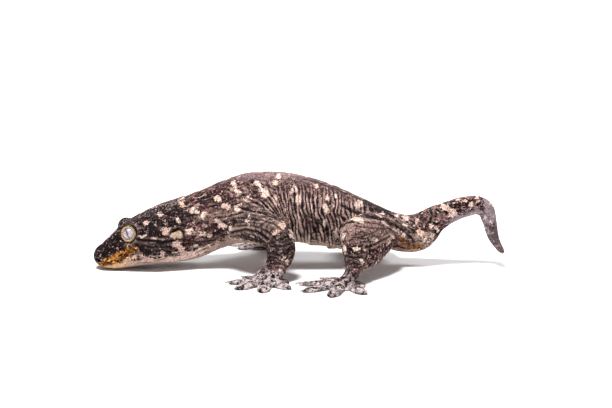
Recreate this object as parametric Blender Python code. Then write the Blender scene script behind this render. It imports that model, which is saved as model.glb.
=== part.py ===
"""A New Caledonian giant gecko, life size, standing low on spread feet with its chin on the ground.

Metres, +Z up. The animal faces -X, its left side is at -Y, and its soles and chin lie at Z = 0.
The body is lofted along its spine and parted by thin flat cuts. Each leg is one loft from shoulder or
hip to palm, cut clear of the body and parted at the wrist or ankle.
"""

import math

import bmesh
import bpy
import numpy as np

MM = 0.001
GAP = 0.3 * MM  # kept between pieces that touch
HEADING_STEP = 0.2 * MM  # step over which a line's direction is measured
TURN_STEP = 0.02  # and a section's, in radians
LINE_STEPS = 2000  # steps in which a place is looked up along a line
CARRY_STEPS = 160  # and in which a limb's side is carried along it
SHARP_ANGLE = math.radians(50)  # edges sharper than this aren't shaded smooth
GROUND_REACH, GROUND_DEPTH = 300 * MM, 50 * MM  # the cutter that makes the flats on the floor

# The spine, from snout to tail tip, in millimetres: where the axis runs, how far the body reaches to
# each side, above and below it, how much narrower it is at the top, and how boxy its section is.
SPINE = (
    # x, y, z, half width, rise, drop, taper, boxiness
    (-159.0, -15.8, 7.2, 9.6, 6.0, 6.9, 0.10, 2.4),  # snout tip
    (-153.5, -14.5, 9.6, 12.4, 7.6, 9.2, 0.12, 2.5),  # nostrils
    (-145.0, -12.6, 12.6, 15.6, 11.2, 12.7, 0.20, 2.5),
    (-136.5, -10.7, 15.8, 19.6, 14.9, 14.6, 0.20, 2.7),  # eyes
    (-127.5, -8.8, 19.2, 23.8, 17.6, 16.8, 0.16, 2.6),
    (-114.5, -6.2, 23.2, 28.0, 20.6, 20.0, 0.10, 2.4),  # jaw angle
    (-101.5, -4.0, 26.6, 27.8, 22.8, 23.2, 0.06, 2.3),  # ears
    (-86.0, -2.0, 31.4, 25.4, 23.2, 25.6, 0.05, 2.2),  # neck
    (-70.0, -0.6, 37.4, 27.0, 22.4, 25.2, 0.05, 2.15),
    (-54.0, 0.2, 42.6, 30.6, 24.2, 25.4, 0.05, 2.15),  # shoulders
    (-38.0, 0.8, 45.2, 33.4, 26.8, 26.4, 0.05, 2.15),
    (-20.0, 1.2, 45.8, 34.6, 27.0, 26.8, 0.05, 2.15),  # top of the back
    (0.0, 1.4, 44.0, 34.2, 25.6, 25.6, 0.05, 2.15),
    (18.0, 1.0, 39.8, 32.4, 24.0, 24.0, 0.05, 2.15),
    (36.0, 0.4, 34.4, 28.6, 21.8, 21.6, 0.05, 2.15),
    (53.5, 0.0, 30.2, 23.4, 18.6, 18.0, 0.05, 2.1),  # hips
    (70.0, -0.4, 27.4, 17.4, 14.6, 14.2, 0.04, 2.1),  # vent
    (83.0, -1.0, 25.9, 16.8, 13.4, 15.6, 0.04, 2.1),  # paired bulges behind the vent
    (91.0, -1.6, 27.2, 15.8, 12.9, 16.0, 0.04, 2.1),
    (97.0, -2.1, 30.2, 14.2, 12.1, 14.0, 0.03, 2.1),
    (104.5, -3.0, 35.8, 11.6, 10.8, 10.6, 0.02, 2.0),  # the bulges end in a step
    (116.0, -4.4, 42.2, 9.6, 8.8, 8.6, 0.0, 2.0),  # root of the tail proper
    (128.0, -6.6, 46.8, 8.6, 8.0, 7.8, 0.0, 2.0),
    (137.0, -8.4, 48.4, 7.8, 7.4, 7.2, 0.0, 2.0),
    (143.2, -9.8, 45.8, 7.0, 6.8, 6.6, 0.0, 2.0),  # the tail bends down
    (145.8, -10.8, 39.6, 6.0, 5.8, 5.8, 0.0, 2.0),
    (147.8, -11.8, 31.6, 5.2, 4.9, 5.0, 0.0, 2.0),
    (150.6, -13.0, 22.6, 4.1, 3.8, 3.9, 0.0, 2.0),
    (154.2, -14.0, 16.4, 3.0, 2.7, 2.8, 0.0, 2.0),
    (158.0, -15.0, 11.4, 1.7, 1.6, 1.6, 0.0, 2.0),  # tail tip
)
SNOUT_ROUND = 7.0 * MM  # length over which the snout rounds off
TAIL_ROUND = 3.0 * MM
SNOUT_RINGS = (0.0, 0.06, 0.2, 0.45)  # where its rings lie, as shares of that length
SNOUT_END = 0.7  # the share of it past which the evenly spaced rings take over
SMALLEST = 0.06  # the share of its size that the body keeps at its very ends
POLE = 0.02  # and a ball at its poles

# The spine's nodes: name, the x where each begins, and its ring spacing in millimetres and sides.
SPINE_NODES = (
    ("head", -159.0, 3.8, 30),
    ("neck", -92.0, 4.6, 26),
    ("torso", -66.0, 3.6, 26),
    ("tail_base", 79.0, 4.0, 18),
    ("tail_middle", 112.0, 4.0, 14),
    ("tail_tip", 145.8, 4.0, 12),
)

# Loose skin hangs in upright folds on the flanks between the limbs.
FOLD_DEPTH = 0.9 * MM
FOLD_LENGTH = 11.0 * MM
FOLD_START, FOLD_END = -46 * MM, 52 * MM
FOLD_FADE = 14.0 * MM  # length over which the folds die away at each end
FOLD_MIDDLE, FOLD_SPREAD = -0.1, 0.75  # how high on the flank they are deepest, and how far they reach
FOLD_LEAN = 4.0 * MM

# The eyeball's middle, along the spine's x and then out and up from its axis, and the orbit round it.
EYE_X, EYE_OUT, EYE_UP = -129.4 * MM, 13.4 * MM, 11.2 * MM
EYE_RADIUS = 6.0 * MM
EYE_LOOKS_UP, EYE_LOOKS_AHEAD = math.radians(14), math.radians(16)
ORBIT_RADIUS, ORBIT_SINKS = 7.2 * MM, 1.2 * MM
LID_OUT, LID_RADIUS, LID_THICKNESS = 2.6 * MM, 5.6 * MM, 1.3 * MM

# The line of the mouth, in millimetres: x along the spine, and how far below its axis.
MOUTH = (
    (-157.6, 3.1),
    (-153.0, 3.4),
    (-146.0, 3.6),
    (-139.0, 3.1),
    (-131.5, 3.0),
    (-127.0, 3.8),
    (-124.2, 5.6),
)
MOUTH_SLIT, MOUTH_DEPTH = 0.7 * MM, 1.1 * MM
MOUTH_STEPS, MOUTH_CROWDING = 9, 1.2  # stations on each side, which lie closer towards the snout
MOUTH_LOWEST = 0.9  # the share of the body's drop that the mouth stays above
LIP_THICKNESS, LIP_SPACING = 1.2 * MM, 1.08 * MM
LIP_SINKS = 0.45  # the share of a lip's thickness that lies in the head
SNOUT_TURN = 5.0 * MM  # length over which the lips turn round the snout
CUTTER_REACH = 4.0 * MM  # how far the mouth's cutter stands out of the head

NOSTRIL_X, NOSTRIL_HEIGHT, NOSTRIL_RADIUS = -155.6 * MM, 1.1 * MM, 1.0 * MM
NOSTRIL_SINKS = 0.6 * MM
EAR_X, EAR_HEIGHT, EAR_SINKS = -96.8 * MM, 5.2 * MM, 0.0
EAR_SIZE = (1.7 * MM, 2.0 * MM, 3.4 * MM)  # half length, depth and height of the cup

# Each leg, in millimetres, for the left side: the points of its centre line and, at each, the half
# width across the limb and the half height. The last three are the wrist, the palm and its far edge.
FRONT_LEG = (
    (-54.0, -14.0, 38.0, 13.5, 13.0),  # inside the shoulder
    (-43.0, -29.0, 38.6, 14.0, 13.5),
    (-28.0, -42.0, 37.0, 13.0, 13.0),
    (-16.5, -50.5, 31.5, 11.6, 12.0),  # elbow
    (-14.0, -55.0, 22.0, 10.6, 10.4),
    (-17.0, -59.5, 12.4, 9.6, 7.4),  # wrist
    (-22.5, -64.5, 6.0, 11.0, 4.8),  # palm
    (-28.5, -70.5, 3.0, 9.5, 3.0),
)
HIND_LEG = (
    (66.0, -9.0, 27.0, 13.0, 12.5),  # inside the hip
    (58.5, -23.0, 30.0, 14.5, 13.5),
    (48.5, -38.0, 33.5, 13.5, 13.2),
    (41.5, -49.5, 33.5, 11.6, 11.6),  # knee
    (41.5, -57.5, 26.0, 11.2, 9.8),
    (41.5, -64.0, 16.5, 10.0, 7.2),
    (39.5, -69.5, 9.8, 9.0, 5.2),  # ankle
    (35.5, -75.0, 5.8, 10.2, 4.2),  # sole
    (30.0, -80.0, 3.2, 10.0, 2.8),
)
THIGH_WEB = (  # the loose skin behind the thigh, from hip to heel, its height and then its width
    (71.0, -15.0, 27.0, 5.5, 6.0),
    (63.0, -32.0, 24.0, 8.5, 8.0),
    (54.5, -48.0, 19.5, 9.5, 7.5),
    (47.0, -61.5, 12.0, 6.0, 4.5),
)
LEG_RINGS, LEG_SIDES = 16, 14
FOOT_RINGS = 6
THIGH_WEB_RINGS, THIGH_WEB_SIDES = 7, 8
WEB_DROP = 0.6  # the right thigh's web hangs lower by this share of its knee's drop
BEND_AT, BEND_SPREAD = 0.42, 0.26  # where along a limb it bends most, and over how much of it
NARROWEST = 0.3  # the least share of its size that a limb's rounded end keeps

# Digits, first to fifth: the turn from the hand's own heading, and the length from its middle.
HAND_HEADING, HAND_CENTRE = math.radians(228), (-23.5 * MM, -66.5 * MM)
HAND_DIGITS = ((-86, 24), (-44, 29), (-4, 31), (36, 31), (80, 26))
FOOT_HEADING, FOOT_CENTRE = math.radians(220), (32.5 * MM, -75.5 * MM)
FOOT_DIGITS = ((-90, 25), (-46, 33), (-6, 36), (34, 37), (78, 31))
PAD_HALF_WIDTH = 5.0 * MM
DIGIT = (
    # share of the length, height of the middle, half width as a share of the pad's, half height
    (0.10, 2.6, 0.76, 2.6),
    (0.38, 2.8, 0.80, 2.6),
    (0.56, 2.0, 0.94, 2.2),
    (0.74, 1.4, 1.0, 1.9),
    (0.91, 1.1, 0.76, 1.6),
    (1.0, 1.0, 0.36, 1.2),
)
DIGIT_RINGS, DIGIT_SIDES = 6, 8
WEB_RADIUS, WEB_THICKNESS = 16.0 * MM, 2.4 * MM
PALM_HEIGHT = 0.6 * MM
CLAW_LENGTH = 3.4 * MM
CLAW = (  # share of its length, height of its middle, half width
    (-0.8, 1.5, 0.75),
    (0.3, 1.7, 0.65),
    (0.75, 1.3, 0.45),
    (1.0, 0.7, 0.25),
)
CLAW_RINGS, CLAW_SIDES = 5, 5

# The right limbs stand a little apart from a mirror image, as on a resting animal: the shift, in
# millimetres, that grows from nothing at the body to this at the hand or foot.
RIGHT_FRONT_SHIFT = (-8.0, -3.0)
RIGHT_HIND_SHIFT = (7.0, -3.0)
RIGHT_FRONT_DROP, RIGHT_HIND_DROP = 3.0, 9.0  # how much lower the right elbow and knee are

UPRIGHT = ((0, 0, 1), (1, 0, 0), (0, 1, 0))  # axes of a flat round piece, thickness first

# Finishes: name, base colour and roughness.
HIDE = ("mottled_hide", (0.085, 0.062, 0.058), 0.62)
TAIL_HIDE = ("tail_hide", (0.16, 0.125, 0.125), 0.6)
FOOT_HIDE = ("foot_hide", (0.2, 0.165, 0.16), 0.62)
EYE = ("silver_eye", (0.62, 0.6, 0.62), 0.08)


def clear_scene():
    for thing in list(bpy.data.objects):
        bpy.data.objects.remove(thing)


def material(finish):
    name, colour, roughness = finish
    made = bpy.data.materials.get(name)
    if made is None:
        made = bpy.data.materials.new(name)
        made.use_nodes = True
        shader = made.node_tree.nodes["Principled BSDF"]
        shader.inputs["Base Color"].default_value = (*colour, 1.0)
        shader.inputs["Roughness"].default_value = roughness
        made.diffuse_color = (*colour, 1.0)
    return made


def slopes(knots, values, limited):
    """Tangents for a smooth curve through values; limited ones never overshoot."""
    step = np.diff(knots)[:, None]
    rise = np.diff(values, axis=0) / step
    between = (rise[:-1] * step[1:] + rise[1:] * step[:-1]) / (step[1:] + step[:-1])
    tangent = np.vstack([rise[:1], between, rise[-1:]])
    if limited:
        before, after = np.vstack([rise[:1], rise]), np.vstack([rise, rise[-1:]])
        most = 3 * np.minimum(abs(before), abs(after))
        tangent = np.where(before * after > 0, np.clip(tangent, -most, most), 0)
    return tangent


def hermite(knots, values, tangent, at):
    at = np.atleast_1d(at)
    i = np.clip(np.searchsorted(knots, at) - 1, 0, len(knots) - 2)
    span = (knots[i + 1] - knots[i])[:, None]
    t = ((at - knots[i])[:, None]) / span
    return (
        values[i] * (2 * t**3 - 3 * t**2 + 1)
        + tangent[i] * span * (t**3 - 2 * t**2 + t)
        + values[i + 1] * (3 * t**2 - 2 * t**3)
        + tangent[i + 1] * span * (t**3 - t**2)
    )


class Track:
    """A centre line with sizes along it. Rows hold x, y, z and then the sizes, in millimetres."""

    def __init__(self, rows, ratios=0):
        table = np.array(rows, float)
        table[:, : table.shape[1] - ratios] *= MM
        self.table = table
        self.knots = np.append(0, np.cumsum(np.linalg.norm(np.diff(table[:, :3], axis=0), axis=1)))
        self.length = self.knots[-1]
        line, sizes = table[:, :3], table[:, 3:]
        self.tangent = np.hstack([slopes(self.knots, line, False), slopes(self.knots, sizes, True)])

    def row(self, at):
        return hermite(self.knots, self.table, self.tangent, at)

    def heading(self, at):
        ahead = self.row(np.minimum(at + HEADING_STEP, self.length))
        behind = self.row(np.maximum(at - HEADING_STEP, 0))
        way = (ahead - behind)[:, :3]
        return way / np.linalg.norm(way, axis=1)[:, None]

    def at_x(self, x):
        """How far along the line is x, on a line where x only grows."""
        fine = np.linspace(0, self.length, LINE_STEPS)
        return float(np.interp(x, self.row(fine)[:, 0], fine))


def level_frames(ways):
    """Side and up vectors that keep the side level."""
    side = np.cross([0.0, 0.0, 1.0], ways)
    side /= np.linalg.norm(side, axis=1)[:, None]
    return side, np.cross(ways, side)


def carried_frames(ways, last_side):
    """Side and up vectors carried back from the end of a line without twist."""
    sides = [last_side]
    for way in ways[-2::-1]:
        side = sides[-1] - np.dot(sides[-1], way) * way
        sides.append(side / np.linalg.norm(side))
    side = np.array(sides[::-1])
    return side, np.cross(ways, side)


def oval(angles, half_width, rise, drop, taper, boxiness):
    """A section's offsets to the side and up, boxier than an ellipse and narrower at the top."""
    c, s = np.cos(angles), np.sin(angles)
    up = np.where(s > 0, rise, drop) * np.sign(s) * abs(s) ** (2 / boxiness)
    side = half_width * np.sign(c) * abs(c) ** (2 / boxiness) * (1 - taper * s)
    return side, up


SPINE_TRACK = Track(SPINE, ratios=2)


def bell(value, middle, reach):
    return np.exp(-(((value - middle) / reach) ** 2))


def flank_fold(x, angles):
    """How far the loose skin stands out or in at this place on the flank."""
    along = np.clip(np.minimum(x - FOLD_START, FOLD_END - x) / FOLD_FADE, 0, 1)
    height = bell(np.sin(angles), FOLD_MIDDLE, FOLD_SPREAD)
    wave = np.sin(2 * math.pi * (x + FOLD_LEAN * np.sin(angles)) / FOLD_LENGTH)
    return FOLD_DEPTH * along * height * wave


def end_roundness(at):
    nose = np.clip(at / SNOUT_ROUND, 0, 1)
    tip = np.clip((SPINE_TRACK.length - at) / TAIL_ROUND, 0, 1)
    return np.sqrt(1 - (1 - nose) ** 2) * np.sqrt(1 - (1 - tip) ** 2)


def spine_ring(at, sides, grow=0.0, shift=0.0):
    """One ring of the body's skin. grow makes it wider, and shift moves it along without a turn."""
    x, y, z, half_width, rise, drop, taper, boxiness = SPINE_TRACK.row(at)[0]
    way = SPINE_TRACK.heading(np.array([at]))
    side, up = level_frames(way)
    angles = 2 * math.pi * (np.arange(sides) + 0.5) / sides
    half_width, rise, drop = np.array([half_width, rise, drop]) * max(float(end_roundness(at)), SMALLEST)
    across, above = oval(angles, half_width, rise, drop, taper, boxiness)
    reach = np.hypot(across, above)
    scale = (reach + flank_fold(x, angles) + grow) / reach
    centre = np.array([x, y, z]) + way[0] * shift
    return centre + (across * scale)[:, None] * side[0] + (above * scale)[:, None] * up[0]


def spine_point(x, angle):
    """A place on the body's skin and the way out of it there."""
    at = SPINE_TRACK.at_x(x)
    row = SPINE_TRACK.row(at)[0]
    side, up = level_frames(SPINE_TRACK.heading(np.array([at])))

    def point(turn):
        across, above = oval(np.array([turn]), *row[3:])
        return row[:3] + across[0] * side[0] + above[0] * up[0]

    along = point(angle + TURN_STEP) - point(angle - TURN_STEP)
    out = np.cross(along, SPINE_TRACK.heading(np.array([at]))[0])
    out /= np.linalg.norm(out)
    return point(angle), out if np.dot(out, point(angle) - row[:3]) > 0 else -out


def mesh_object(name, points, faces, finish=None):
    mesh = bpy.data.meshes.new(name)
    mesh.from_pydata([tuple(p) for p in points], [], faces)
    work = bmesh.new()
    work.from_mesh(mesh)
    if work.calc_volume(signed=True) < 0:
        bmesh.ops.reverse_faces(work, faces=work.faces)
    work.to_mesh(mesh)
    work.free()
    thing = bpy.data.objects.new(name, mesh)
    bpy.context.scene.collection.objects.link(thing)
    if finish:
        mesh.materials.append(material(finish))
    return thing


def loft(name, rings, finish=None):
    """A closed body through rings of the same number of points, with flat ends."""
    count = len(rings[0])
    faces = [list(range(count))[::-1], [len(rings) * count - count + i for i in range(count)]]
    for r in range(len(rings) - 1):
        for i in range(count):
            j = (i + 1) % count
            a, b, c, d = r * count + i, r * count + j, (r + 1) * count + j, (r + 1) * count + i
            faces += [[a, b, c], [a, c, d]]
    return mesh_object(name, np.vstack(rings), faces, finish)


def tube(name, rows, rings, sides, last_side, start=0.0, end=None, round_end=True, grow=0.0, finish=None):
    """A loft along a limb's rows, from start to end of its line, wider by grow."""
    track = Track(rows)
    end = track.length if end is None else end
    fine = np.linspace(0, track.length, CARRY_STEPS)
    side, up = carried_frames(track.heading(fine), np.array(last_side, float))
    made = []
    for at in np.linspace(start, end, rings):
        row = track.row(at)[0]
        here = int(round(at / track.length * (len(fine) - 1)))
        angles = 2 * math.pi * np.arange(sides) / sides
        shrink = 1.0
        if round_end:
            near = min(at, track.length - at) / row[4]
            shrink = max(NARROWEST, math.sqrt(1 - (1 - min(near, 1)) ** 2))
        across = np.cos(angles) * (row[3] * shrink + grow)
        above = np.sin(angles) * (row[4] * shrink + grow)
        made.append(row[:3] + across[:, None] * side[here] + above[:, None] * up[here])
    return loft(name, made, finish)


def applied(thing):
    """The object with its modifiers made part of its mesh."""
    graph = bpy.context.evaluated_depsgraph_get()
    mesh = bpy.data.meshes.new_from_object(thing.evaluated_get(graph))
    thing.modifiers.clear()
    thing.data = mesh
    return thing


def combine(thing, others, operation):
    """Joins the others to thing, or cuts them from it, and removes them."""
    group = bpy.data.collections.new("pieces")
    bpy.context.scene.collection.children.link(group)
    for other in others:
        group.objects.link(other)
    modifier = thing.modifiers.new(operation.lower(), "BOOLEAN")
    modifier.operation = operation
    modifier.operand_type = "COLLECTION"
    modifier.collection = group
    modifier.solver = "EXACT"
    modifier.use_self = False
    applied(thing)
    for other in others:
        bpy.data.objects.remove(other)
    bpy.data.collections.remove(group)
    return thing


def keep_largest(thing):
    """Drops every closed surface but the largest."""
    work = bmesh.new()
    work.from_mesh(thing.data)
    left, groups = set(work.faces), []
    while left:
        group, edge = set(), [left.pop()]
        while edge:
            face = edge.pop()
            group.add(face)
            near = {f for e in face.edges for f in e.link_faces} & left
            left -= near
            edge.extend(near)
        groups.append(group)
    groups.sort(key=lambda g: sum(f.calc_area() for f in g))
    spare = [f for g in groups[:-1] for f in g]
    bmesh.ops.delete(work, geom=spare, context="FACES")
    bmesh.ops.triangulate(work, faces=work.faces)
    work.to_mesh(thing.data)
    work.free()
    return thing


def box(name, low, high):
    corners = [(x, y, z) for x in (low[0], high[0]) for y in (low[1], high[1]) for z in (low[2], high[2])]
    faces = [[0, 1, 3, 2], [4, 6, 7, 5], [0, 4, 5, 1], [2, 3, 7, 6], [0, 2, 6, 4], [1, 5, 7, 3]]
    return mesh_object(name, corners, faces)


def ground():
    """Everything under the soles, as a cutter."""
    return box("ground", (-GROUND_REACH, -GROUND_REACH, -GROUND_DEPTH), (GROUND_REACH, GROUND_REACH, 0.0))


def ball(name, centre, radii, axes=((1, 0, 0), (0, 1, 0), (0, 0, 1)), segments=12, rings=8):
    """An ellipsoid with its radii along the axes given."""
    basis = np.array(axes, float)
    made = []
    for r in range(rings + 1):
        tilt = math.pi * r / rings
        wide = max(math.sin(tilt), POLE)
        turn = 2 * math.pi * np.arange(segments) / segments
        unit = np.stack([np.full(segments, -math.cos(tilt)), wide * np.cos(turn), wide * np.sin(turn)], 1)
        made.append(np.array(centre) + (unit * np.array(radii)) @ basis)
    return loft(name, made)


def spine_stations(start, end, spacing):
    count = max(2, int(round((end - start) / (spacing * MM))) + 1)
    return np.linspace(start, end, count)


def spine_segment(name, first, last, spacing, sides, grow=0.0):
    """The body between two places on the spine, less half a gap at each cut."""
    at = spine_stations(first, last, spacing)
    if first == 0:
        at = np.append(SNOUT_ROUND * np.array(SNOUT_RINGS), at[at > SNOUT_END * SNOUT_ROUND])
    rings = []
    for i, here in enumerate(at):
        shift = 0.0
        if i == 0 and first > 0:
            shift = GAP / 2 - grow
        if i == len(at) - 1 and last < SPINE_TRACK.length:
            shift = grow - GAP / 2
        rings.append(spine_ring(here, sides, grow, shift))
    return loft(name, rings)


def spine_spans():
    starts = [SPINE_TRACK.at_x(x * MM) for _, x, _, _ in SPINE_NODES]
    starts[0] = 0.0
    ends = starts[1:] + [SPINE_TRACK.length]
    return {row[0]: (a, b, row[2], row[3]) for row, a, b in zip(SPINE_NODES, starts, ends)}


def eye_frame(right):
    """The eyeball's centre and the way it looks, on the left or the right."""
    at = np.array([SPINE_TRACK.at_x(EYE_X)])
    way = SPINE_TRACK.heading(at)
    side, up = level_frames(way)
    out = side[0] if right else -side[0]
    looks = out * math.cos(EYE_LOOKS_UP) * math.cos(EYE_LOOKS_AHEAD)
    looks = looks + up[0] * math.sin(EYE_LOOKS_UP) - way[0] * math.sin(EYE_LOOKS_AHEAD)
    centre = SPINE_TRACK.row(at)[0, :3] + out * EYE_OUT + up[0] * EYE_UP
    return centre, looks / np.linalg.norm(looks)


def ring_axes(looks):
    across = np.cross(looks, [0.0, 0.0, 1.0])
    across /= np.linalg.norm(across)
    return across, np.cross(across, looks)


def ring_tube(name, centre, looks, radius, thickness, steps=18, sides=5):
    """A closed ring round the line that looks along looks."""
    across, up = ring_axes(looks)
    points, faces = [], []
    for i in range(steps):
        turn = 2 * math.pi * i / steps
        out = across * math.cos(turn) + up * math.sin(turn)
        for k in range(sides):
            bend = 2 * math.pi * k / sides
            reach = radius + thickness * math.cos(bend)
            points.append(centre + out * reach + looks * thickness * math.sin(bend))
            a, b = i * sides + k, i * sides + (k + 1) % sides
            c, d = (b + sides) % (steps * sides), (a + sides) % (steps * sides)
            faces += [[a, b, c], [a, c, d]]
    return mesh_object(name, points, faces)


def mouth_path():
    """The lips' line from the left corner round the snout to the right one: place and way out."""
    xs, depths = np.array(MOUTH).T * MM
    path = []
    for right in (False, True):
        half = []
        for x in xs[0] + (xs[-1] - xs[0]) * np.linspace(0, 1, MOUTH_STEPS) ** MOUTH_CROWDING:
            at = SPINE_TRACK.at_x(x)
            row = SPINE_TRACK.row(at)[0]
            round_off = float(end_roundness(at))
            share = min(np.interp(x, xs, depths) / (row[5] * round_off), MOUTH_LOWEST)
            angle = -math.asin(share ** (row[7] / 2))
            angle = angle if right else math.pi - angle
            across, above = oval(np.array([angle]), *(row[3:6] * round_off), *row[6:])
            way = SPINE_TRACK.heading(np.array([at]))
            side, up = level_frames(way)
            out = side[0] if right else -side[0]
            front = bell(x, xs[0], SNOUT_TURN)
            out = out * (1 - front) - way[0] * front
            half.append((row[:3] + across[0] * side[0] + above[0] * up[0], out / np.linalg.norm(out)))
        path += half if right else half[::-1]
    return path


def strip_along(name, path, sections):
    """A closed bar along the path; sections gives its section's corners, out and up from the path."""
    up = np.array([0.0, 0.0, 1.0])
    return loft(name, [np.array([place + out * a + up * b for a, b in sections]) for place, out in path])


def make_head(span):
    head = spine_segment("head", *span)
    head.data.materials.append(material(HIDE))
    path = mouth_path()
    hexagon = [(math.cos(math.pi * k / 3), math.sin(math.pi * k / 3)) for k in range(6)]
    lips = []
    for offset in (LIP_SPACING, -LIP_SPACING):
        section = [(LIP_THICKNESS * (a - LIP_SINKS), LIP_THICKNESS * b + offset) for a, b in hexagon]
        lips.append(strip_along("lip", path, section))
    orbits = []
    for right in (False, True):
        centre, looks = eye_frame(right)
        orbits.append(ball("orbit", centre - looks * ORBIT_SINKS, (ORBIT_RADIUS,) * 3))
        orbits.append(ring_tube("lid", centre + looks * LID_OUT, looks, LID_RADIUS, LID_THICKNESS))
    combine(head, lips + orbits, "UNION")
    corners = ((-MOUTH_DEPTH, -1), (CUTTER_REACH, -1), (CUTTER_REACH, 1), (-MOUTH_DEPTH, 1))
    slit = [(out, side * MOUTH_SLIT / 2) for out, side in corners]
    cutters = [ground(), strip_along("mouth", path, slit)]
    for right in (False, True):
        centre, _ = eye_frame(right)
        cutters.append(ball("socket", centre, (EYE_RADIUS + GAP,) * 3, segments=14, rings=10))
        cutters.append(pit(NOSTRIL_X, NOSTRIL_HEIGHT, NOSTRIL_SINKS, (NOSTRIL_RADIUS,) * 3, right))
        cutters.append(pit(EAR_X, EAR_HEIGHT, EAR_SINKS, EAR_SIZE, right))
    combine(head, cutters, "DIFFERENCE")
    return keep_largest(head)


def pit(x, height, sinks, radii, right):
    """A shallow cup's cutter, its middle sunk in the skin at this place and height above the axis."""
    row = SPINE_TRACK.row(SPINE_TRACK.at_x(x))[0]
    reach = row[4] if height > 0 else row[5]
    angle = math.copysign(math.asin((abs(height) / reach) ** (row[7] / 2)), height)
    place, out = spine_point(x, angle if right else math.pi - angle)
    along = np.cross(out, [0.0, 0.0, 1.0])
    along /= np.linalg.norm(along)
    axes = (along, out, np.cross(along, out))
    return ball("pit", place - out * sinks, radii, axes, segments=10, rings=6)


def make_eye(name, right):
    centre, looks = eye_frame(right)
    across, up = ring_axes(looks)
    eye = ball(name, centre, (EYE_RADIUS,) * 3, (looks, across, up), segments=14, rings=10)
    eye.data.materials.append(material(EYE))
    return eye


def on_side(rows, right, shift, drop):
    """A limb's rows on its own side, the right one a little off the mirror image and lower at its bend."""
    if not right:
        return list(rows)
    made = []
    for i, (x, y, z, *sizes) in enumerate(rows):
        share = i / (len(rows) - 1)
        along, across = share * shift[0], share * shift[1]
        lower = drop * bell(share, BEND_AT, BEND_SPREAD)
        made.append((x + along, -y - across, z - lower, *sizes))
    return made


def digit_rows(centre, heading, length):
    """A toe in millimetres: narrow at the web, wide at the pad, ending at the claw's root."""
    way = np.array([math.cos(heading), math.sin(heading)])
    rows = []
    for share, height, width_share, half_height in DIGIT:
        place = np.array(centre) / MM + way * length * share
        rows.append((place[0], place[1], height, width_share * PAD_HALF_WIDTH / MM, half_height))
    return rows


def make_digits(centre, heading, digits, hand):
    """The five toes and their claws, sunk into the palm or sole."""
    radii = (WEB_THICKNESS, WEB_RADIUS, WEB_RADIUS)
    pieces = [ball("web", (*centre, PALM_HEIGHT), radii, UPRIGHT, segments=16, rings=6)]
    for turn, length in digits:
        way = heading + hand * math.radians(turn)
        rows = digit_rows(centre, way, length)
        level = (math.sin(way), -math.cos(way), 0)
        pieces.append(tube("toe", rows, DIGIT_RINGS, DIGIT_SIDES, level, round_end=False))
        tip, along = np.array(rows[-1][:3]), np.array([math.cos(way), math.sin(way)])
        claw = []
        for share, height, thick in CLAW:
            place = tip[:2] + along * share * CLAW_LENGTH / MM
            claw.append((place[0], place[1], height, thick, thick))
        pieces.append(tube("claw", claw, CLAW_RINGS, CLAW_SIDES, level, round_end=False))
    return pieces


def make_limb(kind, right, body_cutters):
    """One leg and its hand or foot: a single loft parted at the wrist or ankle."""
    front = kind == "front"
    side_name = "right" if right else "left"
    shift, drop = (RIGHT_FRONT_SHIFT, RIGHT_FRONT_DROP) if front else (RIGHT_HIND_SHIFT, RIGHT_HIND_DROP)
    rows = on_side(FRONT_LEG if front else HIND_LEG, right, shift, drop)
    track = Track(rows)
    wrist = track.knots[-3]
    tip_way = track.heading(np.array([track.length]))[0]
    level = np.cross([0.0, 0.0, 1.0], tip_way)
    level /= np.linalg.norm(level)
    leg_name = f"leg_{kind}_{side_name}"
    leg = tube(leg_name, rows, LEG_RINGS, LEG_SIDES, level, 0.0, wrist - GAP / 2, finish=HIDE)
    if not front:
        web_rows = on_side(THIGH_WEB, right, (0, 0), drop * WEB_DROP)
        web = tube("web", web_rows, THIGH_WEB_RINGS, THIGH_WEB_SIDES, (0.0, 0.0, 1.0))
        beyond = (wrist - GAP, track.length)
        past_ankle = tube("clearance", rows, FOOT_RINGS, LEG_SIDES, level, *beyond, grow=GAP)
        combine(web, [past_ankle], "DIFFERENCE")
        combine(leg, [keep_largest(web)], "UNION")
    combine(leg, body_cutters(), "DIFFERENCE")
    keep_largest(leg)
    foot_name = ("hand_" if front else "foot_") + side_name
    past_wrist = (wrist + GAP / 2, track.length)
    foot = tube(foot_name, rows, FOOT_RINGS, LEG_SIDES, level, *past_wrist, finish=FOOT_HIDE)
    centre, heading = (HAND_CENTRE, HAND_HEADING) if front else (FOOT_CENTRE, FOOT_HEADING)
    hand = 1
    if right:
        centre = (centre[0] + shift[0] * MM, -centre[1] - shift[1] * MM)
        heading, hand = -heading, -1
    combine(foot, make_digits(centre, heading, HAND_DIGITS if front else FOOT_DIGITS, hand), "UNION")
    combine(foot, [ground()], "DIFFERENCE")
    keep_largest(foot)
    return [leg, foot]


def centre_on_floor(things):
    """Puts the middle of the whole box over the origin."""
    points = np.vstack([[v.co for v in thing.data.vertices] for thing in things])
    middle = (points.min(0) + points.max(0)) / 2
    for thing in things:
        for vertex in thing.data.vertices:
            vertex.co.x -= middle[0]
            vertex.co.y -= middle[1]


def finish_smooth(thing):
    thing.data.shade_smooth()
    thing.data.set_sharp_from_angle(angle=SHARP_ANGLE)


def main():
    clear_scene()
    spans = spine_spans()
    things = [make_head(spans["head"])]
    for name in ("neck", "torso", "tail_base", "tail_middle", "tail_tip"):
        segment = spine_segment(name, *spans[name])
        segment.data.materials.append(material(TAIL_HIDE if name.startswith("tail") else HIDE))
        things.append(segment)
    things += [make_eye("eye_left", False), make_eye("eye_right", True)]

    def body_cutters():
        return [spine_segment("clearance", *spans[n], grow=GAP) for n in ("neck", "torso", "tail_base")]

    for kind in ("front", "hind"):
        for right in (False, True):
            things += make_limb(kind, right, body_cutters)
    centre_on_floor(things)
    for thing in things:
        finish_smooth(thing)


main()
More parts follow.
